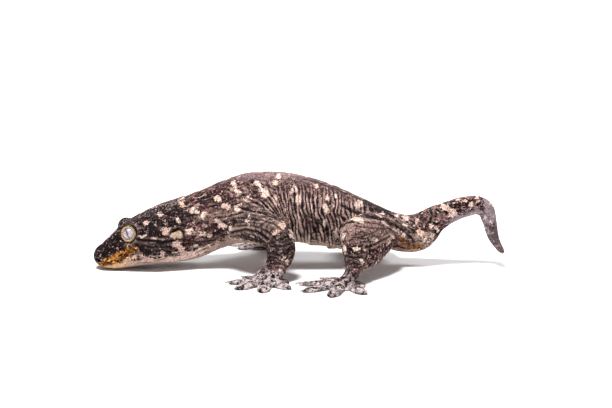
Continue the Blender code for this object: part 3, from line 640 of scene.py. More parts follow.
def neck_wrinkles(place, normals, is_trunk):
    """Fine wrinkles along the neck, in patches."""
    column, row = place.T
    neck = smooth_step(column, 172, 190) * smooth_step(-column, -262, -244) * is_trunk
    count = (row + 0.28 * (column - 200)) / NECK_WRINKLE_PIXELS
    count += 1.3 * waves(on_paper(column, row, 13, 8), 1.0, 8)
    patch = np.clip(0.1 + 1.9 * waves(on_paper(column, row, 14, 6), 1.0, 9), 0, 1)
    return line_and_sides(count, neck * patch * (normals[:, 2] < 0.85))


def limb_rings_pressed(points, marks):
    """Skin rings round the arms and legs, broken up so that none runs all the way."""
    limb = (marks[:, 0] > 0.5) & (marks[:, 0] < LIMBS[-1][2] + 0.5)
    count = marks[:, 1] / LIMB_RING_GAP + 1.7 * waves(points, 75.0, 6)
    around = np.clip(0.35 + 1.9 * waves(points, 95.0, 7), 0, 1)
    return line_and_sides(count, limb * around)


def press(points, normals, marks, place):
    """Moves the skin for its folds and creases. Returns the points, how deep in a crease each lies, and the
    painted highlight beside them.
    """
    is_trunk = (marks[:, 0] < 0.5) | (abs(marks[:, 0] - PART_HEAD) < 0.5)
    column = place[:, 0]
    count, reach = flank_folds(place, normals, is_trunk)
    move = FOLD_DEPTH * reach * (np.sin(math.pi * off_line(count)) ** 0.7 - 0.75)
    # crease gathers how far the hide darkens in each crease, wrinkle and fold, partly its own dark colour and
    # partly painted shade; lit gathers a painted highlight on the skin raised beside them
    crease, lit = np.zeros(len(points)), np.zeros(len(points))
    facing = smooth_step(-normals @ view_forward, 0.15, 0.4)
    for path, depth, half_width in CREASES:
        far = curve_distance(place, path)
        near, side = bell(far, 0, half_width) * facing, bell(far, 2.1 * half_width, 0.8 * half_width) * facing
        move += depth * MM * (0.3 * side - near)
        crease = np.maximum(crease, near * min(1.0, depth * 1.5))
        lit = np.maximum(lit, side * min(1.0, depth * 1.5) * (0.5 + 0.5 * smooth_step(column, 190, 225)))
    for (ring, side), depth, dark in (
        (limb_rings_pressed(points, marks), 0.38, 0.8),
        (neck_wrinkles(place, normals, is_trunk), 0.5, 0.95),
    ):
        move -= depth * MM * ring
        crease = np.maximum(crease, dark * ring)
        lit = np.maximum(lit, 0.4 * side)
    climb = np.arctan2(marks[:, 3], abs(marks[:, 2]))
    side = bell(climb, BACK_FOLD_AT, BACK_FOLD_WIDE) * is_trunk
    side *= smooth_step(points[:, 0], -12 * MM, 8 * MM) * smooth_step(-points[:, 0], -92 * MM, -76 * MM)
    move -= 0.35 * MM * side
    crease = np.maximum(crease, 0.8 * side)
    tail = is_trunk * smooth_step(points[:, 0], 100 * MM, 108 * MM)
    ring = bell(off_line(marks[:, 1] / TAIL_RING_GAP), 0, 0.2) * tail
    move -= 0.1 * MM * ring
    crease = np.maximum(crease, 0.12 * ring)
    loose = smooth_step(column, 120, 150)
    move += 0.25 * MM * waves(points, 140.0, 10) * loose + 0.12 * MM * waves(points, 330.0, 11)
    return points + normals * move[:, None], crease, lit * (1 - crease)


def press_pit(points, normals, place, column, row, tilt, half_long, half_wide, depth):
    """An oval pit with a low rim."""
    turn = math.radians(tilt)
    offset = place - np.array([column, row])
    long = (offset[:, 0] * math.cos(turn) + offset[:, 1] * math.sin(turn)) / half_long
    wide = (-offset[:, 0] * math.sin(turn) + offset[:, 1] * math.cos(turn)) / half_wide
    far = np.hypot(long, wide)
    pit = np.exp(-(far**4))
    rim = 0.22 * bell(far, 1.5, 0.4)
    return points + normals * (MM * depth * (rim - pit))[:, None], pit


def open_eye(points, right):
    """Draws the skin back from the eyeball and raises the two rims round it."""
    centre, looks = eye_frame(right)
    side, up = ring_axes(looks)
    ray = points - centre
    height, a, b = ray @ looks, ray @ side, ray @ up
    far = np.hypot(a / 0.97, b / 1.05)
    close = (np.linalg.norm(ray, axis=1) < 12 * MM) & (height > -2 * MM)
    mm = far / MM
    opening = EYE_OPENING / MM
    shape = np.interp(mm, [0, *(opening + step for step in LID_STEPS), LID_END], LID_HEIGHTS)
    brow = 0.55 * bell(mm, opening + 2.6, 1.0) * np.clip(b / far, 0, 1)
    weight = np.clip((8.2 - mm) / 1.8, 0, 1) * close
    lifted = points + looks * ((shape + brow) * MM - height)[:, None] * weight[:, None]
    rim = np.clip((opening + 1.75 - mm) / 0.4, 0, 1) * (mm > opening - 0.4) * close
    # groove marks painted shade between the two rims, arc a painted highlight on the upper side of the outer
    # rim
    groove = bell(mm, opening + 2.5, 0.45) * close
    arc = bell(mm, opening + 3.7, 0.6) * close * np.clip(b / far + 0.2, 0, 1)
    return lifted, rim, (mm < opening) & close, groove, arc


def mouth_line():
    """The line of the mouth in the plan, from the left corner round the snout to the right one."""
    line = ((-157.6, 3.1), (-153.0, 3.4), (-146.0, 3.6), (-139.0, 3.1))
    line += ((-131.5, 3.0), (-127.0, 3.8), (-124.2, 5.6))
    xs, depths = np.array(line).T * MM
    path = []
    for right in (False, True):
        half = []
        for x in xs[0] + (xs[-1] - xs[0]) * np.linspace(0, 1, 30) ** 1.2:
            at = SPINE_TRACK.at_x(x)
            row = SPINE_TRACK.row(at)[0]
            nose = min(at / SNOUT_ROUND, 1)
            round_off = math.sqrt(1 - (1 - nose) ** 2)
            share = min(np.interp(x, xs, depths) / (row[5] * round_off), 0.9)
            angle = -math.asin(share ** (row[7] / 2))
            sizes = [*(row[3:6] * round_off), *row[6:]]
            across, above = oval(np.array([angle if right else math.pi - angle]), sizes)
            side, up = level_frames(SPINE_TRACK.heading(np.array([at])))
            half.append(row[:3] + across[0] * side[0] + above[0] * up[0])
        path += half if right else half[::-1]
    return np.array(path)


set_points(skin.data, points)
normals = get_normals(skin.data)
whole = Ground(flesh_points, flesh_faces, flesh_marks)
marks, place = whole.look_up(points), picture_place(points)
points, crease, lit = press(points, normals, marks, place)
# the pits of the nostrils and ears darken the hide as painted shade
for oval_pit in PITS:
    points, pit = press_pit(points, normals, place, *oval_pit)
    crease = np.maximum(crease, pit)
mouth_path = mouth_line()
to_mouth = np.full(len(points), 1.0)
by_mouth = points[:, 0] < -118 * MM
to_mouth[by_mouth] = curve_distance(points[by_mouth], mouth_path)
slit = bell(to_mouth, 0, MOUTH_HALF_WIDTH)
lip = bell(to_mouth, 1.7 * MM, 0.9 * MM)
points = points + normals * (LIP_RISE * lip - MOUTH_DEPTH * slit)[:, None]
# the slit of the mouth darkens the hide as well, partly its own colour and partly painted shade
crease = np.maximum(crease, slit)
eye_rim, socket = np.zeros(len(points)), np.zeros(len(points))
for right in (False, True):
    points, rim, bare, groove, arc = open_eye(points, right)
    eye_rim, socket = np.maximum(eye_rim, rim), np.maximum(socket, bare)
    # painted shade in the groove round each eye, and a painted highlight on the arc above it
    crease, lit = np.maximum(crease, 0.9 * groove), np.maximum(lit, 0.8 * arc)
points[:, 2] = np.maximum(points[:, 2], 0)
under = (points[:, 2] < 0.3 * MM) & (marks[:, 0] >= DIGIT_PART - 0.5)
plates = 0.5 + 0.5 * np.cos(2 * math.pi * marks[:, 1] / PAD_PLATE_GAP)
points[:, 2] += PAD_PLATE_RISE * plates * under
set_points(skin.data, points)

# The hide's markings, carried by every point of the skin: pinkish cream spots on near-black brown, a
# paler throat and belly, orange-brown lips, yellow eye rims, a lilac tail, and grey feet.
SPOTS = (
    # column, row, half width, half height, tilt
    (165.4, 231.4, 4.6, 3.6, 10), (159.6, 215.1, 4.2, 2.4, 0), (146.2, 223.2, 2.8, 2.6, 0),
    (142.4, 236.1, 4.5, 1.7, 5), (176.9, 243.8, 5.2, 3.2, 10), (182.6, 254.3, 3.6, 5.0, 0),
    (194.1, 210.3, 5.6, 3.4, 25), (202.7, 215.1, 3.6, 3.0, 30), (217.8, 198.6, 5.4, 3.0, 25),
    (226.4, 206.6, 5.2, 2.8, 5), (181.7, 204.6, 3.4, 2.2, 0), (177.8, 219.9, 1.7, 5.6, -28),
    (188.3, 230.6, 2.2, 3.2, 0), (202.3, 234.0, 3.6, 3.2, 0), (209.2, 235.3, 3.4, 2.6, -20),
    (221.8, 225.2, 5.0, 2.8, 15), (231.2, 229.2, 2.8, 2.4, 0), (199.8, 250.5, 3.2, 2.6, 0),
    (162.5, 253.4, 3.0, 2.2, 0), (146.2, 259.1, 6.4, 2.4, 8), (170.2, 260.1, 9.5, 2.2, -3),
    (180.7, 197.9, 4.2, 1.6, -10), (237.0, 207.8, 3.4, 3.8, 0), (233.6, 183.6, 2.8, 2.8, 0),
    (238.9, 192.5, 3.8, 2.2, 10), (235.0, 188.0, 2.6, 1.5, 0), (256.5, 183.6, 4.4, 2.8, 10),
    (262.0, 189.4, 3.8, 3.0, 20), (265.4, 194.2, 4.6, 3.8, 0), (275.6, 201.0, 2.8, 5.6, -22),
    (278.7, 176.7, 2.5, 2.3, 0), (276.0, 182.6, 2.9, 1.6, 0), (294.0, 188.2, 2.9, 4.8, -12),
    (298.2, 199.8, 2.9, 5.2, -10), (248.5, 215.5, 1.9, 1.9, 0), (246.6, 221.0, 1.4, 1.3, 0),
    (263.0, 222.0, 2.2, 2.3, 0), (282.3, 225.4, 3.6, 4.8, -30), (276.4, 232.3, 4.2, 3.7, 0),
    (217.5, 220.9, 2.7, 2.4, 0), (316.6, 187.0, 2.4, 2.9, 0), (328.2, 198.1, 3.8, 3.2, 0),
    (335.8, 195.9, 1.5, 3.0, -10), (326.4, 208.4, 3.0, 5.8, -25), (358.8, 204.6, 3.9, 5.8, 20),
    (355.9, 218.2, 4.8, 2.8, 15), (362.4, 221.2, 4.0, 2.0, 8), (381.9, 214.5, 3.4, 2.4, 0),
    (396.8, 214.1, 4.2, 2.4, 0), (405.8, 218.2, 4.0, 3.6, 0), (417.0, 221.2, 2.0, 3.2, 0),
    (386.3, 225.4, 4.6, 1.5, 28), (395.2, 229.8, 4.6, 1.5, 32), (404.2, 235.8, 2.4, 3.1, 0),
    (373.8, 239.6, 4.3, 2.2, 8), (342.5, 236.0, 3.3, 4.6, 15), (355.9, 248.6, 5.6, 3.3, 10),
    (298.8, 219.0, 2.2, 5.6, -4), (298.6, 231.7, 2.8, 8.0, -6), (320.0, 235.3, 2.6, 7.0, 6),
    (324.6, 223.6, 2.4, 5.4, 6), (336.3, 234.3, 2.4, 7.0, 8), (383.6, 222.7, 3.4, 1.8, 20),
    (291.5, 234.5, 2.2, 5.5, -16), (308.5, 238.0, 2.4, 5.0, 0), (329.5, 240.5, 2.2, 4.5, 0),
    (344.0, 249.0, 3.0, 3.0, 0), (392.0, 236.0, 4.0, 1.8, 50), (389.5, 241.5, 3.2, 1.6, -50),
    (421.0, 213.2, 1.6, 1.3, 0), (418.0, 227.7, 2.4, 1.5, 0), (431.4, 225.2, 2.4, 2.8, 0),
    (437.2, 228.9, 2.4, 3.2, -30), (444.3, 206.9, 4.4, 3.9, 20), (452.1, 212.8, 3.4, 5.4, -35),
    (458.0, 199.9, 2.3, 1.7, 0), (463.7, 200.7, 2.4, 1.9, 30), (470.8, 204.0, 2.2, 2.7, 0),
    (476.6, 197.4, 2.7, 1.5, 0), (405.3, 225.4, 3.2, 1.5, 30), (311.0, 206.0, 1.2, 3.4, -6),
    (285.5, 210.5, 1.3, 4.0, -12), (345.0, 187.5, 3.2, 1.2, 20), (308.0, 240.0, 1.5, 3.0, 0),
    (264.0, 259.0, 3.0, 2.0, 20), (287.0, 262.0, 2.6, 3.0, 0), (281.0, 251.0, 2.4, 2.0, 0),
    (362.0, 262.0, 2.8, 3.4, 0), (246.0, 201.0, 3.0, 1.6, 12), (253.0, 236.0, 3.4, 1.4, 4),
    (122.5, 264.5, 5.0, 2.0, -8), (128.5, 260.5, 4.6, 2.8, -35), (134.5, 257.0, 2.8, 1.8, -30),
    (142.5, 256.5, 7.6, 3.0, 38), (184.0, 257.0, 4.4, 5.6, 0), (155.0, 238.5, 3.4, 1.6, 12),
    (150.5, 259.5, 5.0, 2.6, 0), (176.0, 245.5, 5.6, 3.0, 35), (181.0, 249.5, 3.0, 4.0, 30),
    (420.5, 232.5, 3.4, 2.4, 0), (424.0, 239.0, 3.6, 2.4, 20), (433.0, 236.0, 2.6, 2.2, 0),
    (192.0, 254.0, 4.4, 3.0, 0), (171.0, 258.5, 6.0, 1.8, 0), (163.0, 254.0, 3.2, 2.6, 0),
    (191.0, 231.5, 3.0, 3.4, 0), (196.0, 246.5, 3.0, 2.2, 0), (207.0, 247.0, 4.0, 2.2, -20),
)
EAR_LOBE = ((174.0, 235.8, 4.6, 3.6, 0), (179.6, 234.6, 4.0, 4.4, 0))
VENT_STAIN = ((404.9, 244.7, 4.2, 4.2, 0), (415.0, 246.0, 10.0, 3.4, -4), (402.0, 239.0, 3.0, 2.6, 0))
BROWN = (  # soft patches of a lighter brown
    (218.0, 215.0, 24.0, 9.0, -8), (374.0, 230.0, 26.0, 10.0, 18), (244.0, 229.0, 20.0, 8.0, 0),
    (272.0, 224.0, 20.0, 9.0, 12), (348.0, 232.0, 10.0, 10.0, 0), (130.0, 244.0, 9.0, 2.6, -20),
    (300.0, 236.0, 10.0, 10.0, 0), (388.0, 236.0, 12.0, 5.0, -40),
)
BULGE = ((423.0, 238.0, 13.5, 10.0, -6),)
# the nearly black patches are partly dark hide and partly painted shade: in the nostril, on the forearm and
# low on the flank
DARK_AND_SHADE_PATCHES = (  # soft patches that are nearly black
    (108.0, 247.0, 16.0, 11.0, -35), (152.0, 235.0, 17.0, 8.0, 5), (150.0, 221.0, 14.0, 8.0, -25),
    (186.0, 218.0, 10.0, 10.0, 0), (158.0, 248.0, 17.0, 6.0, 0), (206.0, 198.0, 16.0, 8.0, -18),
    (370.0, 213.0, 20.0, 5.0, 22), (398.0, 226.0, 13.0, 5.0, 38), (322.0, 222.0, 12.0, 12.0, 0),
    (436.0, 211.0, 12.0, 4.0, -20), (98.5, 259.5, 4.5, 4.5, 0), (262.0, 204.0, 10.0, 5.0, 20),
    (274.0, 250.0, 20.0, 20.0, 0), (256.0, 229.0, 24.0, 9.0, 10), (134.0, 252.5, 3.5, 3.5, 0),
    (408.0, 234.0, 5.0, 9.0, 0), (316.0, 238.0, 34.0, 7.0, 4), (356.0, 256.0, 14.0, 14.0, 0),
    (120.0, 240.0, 16.0, 8.0, -35), (158.0, 248.0, 24.0, 9.0, 6), (380.0, 208.0, 26.0, 7.0, 26),
    (262.0, 240.0, 14.0, 10.0, 0), (266.0, 224.0, 20.0, 8.0, 10), (240.0, 232.0, 16.0, 5.0, 0),
)
LIP_COLUMNS = (94, 99, 104, 113, 121, 128, 134, 138.5)
LIP_TOPS = (264, 262.5, 259, 254.5, 249.8, 247.5, 246.4, 247.5)
LIP_FOOTS = (268, 267.5, 266.5, 264.5, 261.5, 255.5, 251.5, 248.5)
UNSEEN_SPOT_GAP = 10.5 * MM
UNSEEN_SPOT_SIZES = (1.3, 3.6)


def spots(place, table):
    """How far inside one of the table's ovals each place is: 1 in the middle, 0 on the edge, less outside."""
    best = np.full(len(place), -3.0)
    for column, row, half_wide, half_high, tilt in table:
        turn = math.radians(tilt)
        dx, dy = place[:, 0] - column, place[:, 1] - row
        a = (dx * math.cos(turn) + dy * math.sin(turn)) / half_wide
        b = (-dx * math.sin(turn) + dy * math.cos(turn)) / half_high
        best = np.maximum(best, 1 - np.hypot(a, b))
    return best


def scattered_spots(points, seed):
    """The same measure for spots strewn over the sides that the picture doesn't show."""
    draw = np.random.default_rng(seed)
    kept = []
    for i in draw.permutation(len(points))[:6000]:
        if all(np.linalg.norm(points[i] - points[k]) > UNSEEN_SPOT_GAP for k in kept):
            kept.append(i)
    tree = KDTree(len(kept))
    for i, k in enumerate(kept):
        tree.insert(points[k], i)
    tree.balance()
    size = draw.uniform(*UNSEEN_SPOT_SIZES, len(kept)) * MM
    way = draw.normal(size=(len(kept), 3))
    way /= np.linalg.norm(way, axis=1)[:, None]
    best = np.full(len(points), -3.0)
    for i, p in enumerate(points):
        for _, k, _ in tree.find_n(p, 3):
            off = p - points[kept[k]]
            along = off @ way[k]
            far = math.sqrt(max(off @ off - 0.65 * along * along, 0.0))
            best[i] = max(best[i], 1 - far / size[k])
    return best


def store(mesh, name, values):
    layer = mesh.attributes.new(name, "FLOAT", "POINT")
    layer.data.foreach_set("value", np.asarray(values, np.float32))


def get(mesh, name):
    values = np.empty(len(mesh.vertices), np.float32)
    mesh.attributes[name].data.foreach_get("value", values)
    return values


# crease is where the hide darkens, partly its own dark colour and partly painted shade; lit is painted
# highlight
store(skin.data, "crease", np.clip(crease, 0, 1))
store(skin.data, "lit", np.clip(lit, 0, 1))
store(skin.data, "rim", eye_rim)
store(skin.data, "socket", socket)
triangles = sum(len(f.vertices) - 2 for f in skin.data.polygons)
thin = skin.modifiers.new("thin", "DECIMATE")
thin.ratio = SKIN_TRIANGLES / triangles
thin.use_collapse_triangulate = True
applied(skin)
points, normals = get_points(skin.data), get_normals(skin.data)
marks, place = whole.look_up(points), picture_place(points)
part = np.round(marks[:, 0])
in_hand = part >= DIGIT_PART
on_trunk = (part == PART_SPINE) | (part == PART_HEAD)
x = points[:, 0]
column, row = place.T

# what the picture shows, and what it doesn't
seen = smooth_step(-normals @ view_forward, 0.05, 0.3)
seen *= points[:, 1] < np.interp(x, spine_rows[:, 0], spine_rows[:, 1])
wobble = np.stack([waves(points, 300.0, 21), waves(points, 300.0, 22)], 1)
wobble += 0.5 * np.stack([waves(points, 800.0, 23), waves(points, 800.0, 24)], 1)
lookup = place + 2.2 * wobble
wavy_points = points + 1.6 * MM * waves(points, 260.0, 27)[:, None]
spot = seen * spots(lookup, SPOTS) + (1 - seen) * scattered_spots(wavy_points, 5)
pale = 0.5 + 1.0 * np.clip(spot, -0.6, 0.8)
small = waves(points, 210.0, 25) * 0.6 + waves(points, 520.0, 26) * 0.5
pale = np.maximum(pale, 0.58 + 1.3 * (small - 0.44))
pale[in_hand] = 0
for right in (False, True):
    near_eye = np.linalg.norm(points - eye_frame(right)[0], axis=1)
    far_orbit = (1 - smooth_step(near_eye, 10 * MM, 13 * MM)) * (1 - seen)
    pale *= 1 - far_orbit
facing_down = smooth_step(-normals[:, 2], 0.45, 0.95)
throat = smooth_step(row - np.interp(column, [95, 130, 180, 230, 262], [265, 261, 257, 239, 237]), -7, 4)
belly = np.maximum(facing_down, throat * (column < 262) * on_trunk)
lip = smooth_step(row - np.interp(column + wobble[:, 0], LIP_COLUMNS, LIP_TOPS), -0.9, 1.4)
lip *= smooth_step(np.interp(column, LIP_COLUMNS, LIP_FOOTS) - row, -1.2, 0.6) * (column < 140) * on_trunk
lower = smooth_step(row - np.interp(column, LIP_COLUMNS, LIP_FOOTS), -0.4, 0.8)
lower *= (1 - smooth_step(column, 118, 142)) * on_trunk
lilac = smooth_step(-marks[:, 3] + 0.4 * waves(points, 160.0, 28), -0.2, 0.6)
lilac *= smooth_step(x, 108 * MM, 122 * MM)
end_lilac = smooth_step(x, 138 * MM, 144 * MM) * np.where(points[:, 2] < 36 * MM, 0.5, 0.9)
lilac = np.maximum(lilac, end_lilac) * on_trunk
on_head = smooth_step(-column, -186, -162) * on_trunk
# a painted sheen along the top of the back, weaker towards the hips
ridge = smooth_step(normals[:, 2], 0.86, 0.99) * on_trunk * smooth_step(x, -75 * MM, -50 * MM)
ridge *= 1 - 0.55 * smooth_step(x, -10 * MM, 25 * MM)
upper_arm = (1 - on_trunk) * (x < -5 * MM) * smooth_step(points[:, 2], 14 * MM, 24 * MM)
fold, folded = flank_folds(place, normals, on_trunk)
margin = np.zeros(len(points))
for kind, right, limb in LIMBS:
    centre, toes = hand_layout(kind, right)
    for way, length in toes:
        ray = points[:, :2] - np.array(centre)
        ahead = ray @ np.array([math.cos(way), math.sin(way)]) / MM
        aside = abs(ray @ np.array([-math.sin(way), math.cos(way)])) / MM
        toe = (ahead > length * 0.4) & (ahead < length + 1) & (aside < 6)
        margin = np.maximum(margin, toe * in_hand * smooth_step(aside, 2.2, 3.8))
dark_and_shade_spots = spots(lookup, DARK_AND_SHADE_PATCHES)
# painted glints on the upward-facing scales of the head; round the far eye the same colour gives pale flecks
crown = smooth_step(normals[:, 2], 0.8, 0.98) * on_trunk
streaky_limb = 0.4 * (points[:, 2] > 24 * MM) * (1 - on_trunk)
below_wrist = smooth_step(-points[:, 2] - 2.5 * MM * small, -15 * MM, -6 * MM)
MARKINGS = {
    "pale": np.clip(pale, 0, 1.3) - 0.12 * smooth_step(dark_and_shade_spots, 0, 0.5) * seen,
    "belly": belly,
    "lip": lip,
    "lower": lower,
    "lilac": lilac,
    "lobe": smooth_step(spots(lookup, EAR_LOBE), 0.0, 0.4) * on_trunk,
    "stain": smooth_step(spots(lookup, VENT_STAIN), 0.0, 0.5),
    "brown": smooth_step(spots(lookup, BROWN), 0.0, 0.7),
    "bulge": smooth_step(spots(lookup, BULGE), 0.0, 0.45) * on_trunk,
    "night": np.clip(smooth_step(dark_and_shade_spots, 0.0, 0.6) * 0.9 + 1.05 * on_head + 0.75 * upper_arm, 0, 1.6),
    "dull": on_head,
    "crown": np.maximum(crown, 0.7 * far_orbit) * smooth_step(-column, -205, -170),
    "grain": (0.6 - 0.35 * on_head) * (1 - in_hand) * (0.4 + 0.6 * on_trunk + streaky_limb),
    "tip": smooth_step(x, 139 * MM, 146 * MM) * smooth_step(-points[:, 2], -40 * MM, -26 * MM) * on_trunk,
    "ridge": ridge,
    "hand": np.maximum(in_hand, (1 - on_trunk) * below_wrist),
    "margin": margin,
    "fold": fold,
    "folded": folded,
}
for name, values in MARKINGS.items():
    store(skin.data, name, values)


class Shade:
    """A shader value that adds its own Math nodes as it is reckoned with."""

    def __init__(self, finish, socket):
        self.finish, self.socket = finish, socket

    def reckon(self, operation, *others):
        return self.finish.add("ShaderNodeMath", {"operation": operation}, dict(enumerate((self, *others))))

    def __add__(self, other):
        return self.reckon("ADD", other)

    __radd__ = __add__

    def __sub__(self, other):
        return self.reckon("SUBTRACT", other)

    def __rsub__(self, other):
        return (self * -1.0).reckon("ADD", other)

    def __mul__(self, other):
        return self.reckon("MULTIPLY", other)

    __rmul__ = __mul__

    def between(self, low, high):
        """0 below low, 1 above high, smooth in between."""
        values = {"Value": self, "From Min": low, "From Max": high}
        return self.finish.add("ShaderNodeMapRange", {"interpolation_type": "SMOOTHSTEP"}, values)


class Finish:
    """A material in the making."""

    def __init__(self, name):
        self.material = bpy.data.materials.new(name)
        self.material.use_nodes = True
        self.nodes, self.links = self.material.node_tree.nodes, self.material.node_tree.links
        self.shader = self.nodes["Principled BSDF"]

    def add(self, kind, settings=None, values=None, output=0):
        """A node of a kind: its settings first, then a number, colour or link for each socket named."""
        node = self.nodes.new(kind)
        for key, value in (settings or {}).items():
            setattr(node, key, value)
        for key, value in (values or {}).items():
            self.feed(node.inputs[key], value)
        return Shade(self, node.outputs[output])

    def feed(self, socket, value):
        if isinstance(value, Shade):
            self.links.new(value.socket, socket)
        elif isinstance(value, tuple) and len(value) == 3 and socket.type == "RGBA":
            socket.default_value = (*value, 1)
        else:
            socket.default_value = value

    def attribute(self, name):
        return self.add("ShaderNodeAttribute", {"attribute_name": name}, output=2)

    def place(self):
        return self.add("ShaderNodeTexCoord", output=3)

    def noise(self, scale, detail=2.0, rough=0.5):
        values = {"Vector": self.place(), "Scale": scale, "Detail": detail, "Roughness": rough}
        return self.add("ShaderNodeTexNoise", None, values)

    def mix(self, share, first, second):
        """Colour first where share is 0 and second where it is 1."""
        return self.add("ShaderNodeMix", {"data_type": "RGBA"}, {0: share, 6: first, 7: second}, output=2)

    def set(self, **values):
        for key, value in values.items():
            self.feed(self.shader.inputs[key.replace("_", " ")], value)
        return self.material


DARK, MID, LIGHT = (0.005, 0.0018, 0.0018), (0.130, 0.059, 0.053), (0.46, 0.275, 0.25)
CREAM, PEACH, TAN, HEAD_SPOT = (0.94, 0.76, 0.66), (0.78, 0.50, 0.41), (0.33, 0.19, 0.145), (0.36, 0.21, 0.17)
# the crown's colour is a painted glint on the head's upward-facing scales, and pale flecks round the far eye
WARM_BROWN, PALE_SCALE, CROWN_GLINT_AND_FLECK = (0.25, 0.165, 0.13), (0.58, 0.42, 0.38), (0.56, 0.41, 0.40)
# the colour of the back's top is a painted sheen
BACK_SHEEN, TAIL_LILAC, TAIL_END = (0.37, 0.24, 0.25), (0.36, 0.28, 0.315), (0.10, 0.074, 0.072)
BELLY_BUFF, BULGE_BUFF, RUST = (0.62, 0.43, 0.35), (0.50, 0.36, 0.29), (0.27, 0.10, 0.015)
LIP_BLACK, AMBER, GOLD = (0.014, 0.005, 0.003), (0.50, 0.18, 0.028), (0.80, 0.46, 0.14)
# the crease colour is the hide's own dark colour with painted shade; the colour between the scales is painted
# shade in the crevices between them
LOWER_LIP, CREASE_DARK_AND_SHADE, SHADE_BETWEEN_SCALES = (0.82, 0.50, 0.25), (0.004, 0.0024, 0.0024), (0.010, 0.006, 0.006)
RIM_DARK, RIM_YELLOW, EAR_CREAM = (0.085, 0.052, 0.026), (0.58, 0.39, 0.22), (0.88, 0.63, 0.47)
FOOT_WHITE, TOE_EDGE = (0.58, 0.475, 0.475), (0.62, 0.54, 0.52)
# painted highlights: on the skin raised beside the creases, and along the tops of the flank's folds
FOLD_EDGE_HIGHLIGHT, FOLD_TOP_HIGHLIGHT = (0.56, 0.385, 0.345), (0.68, 0.47, 0.42)


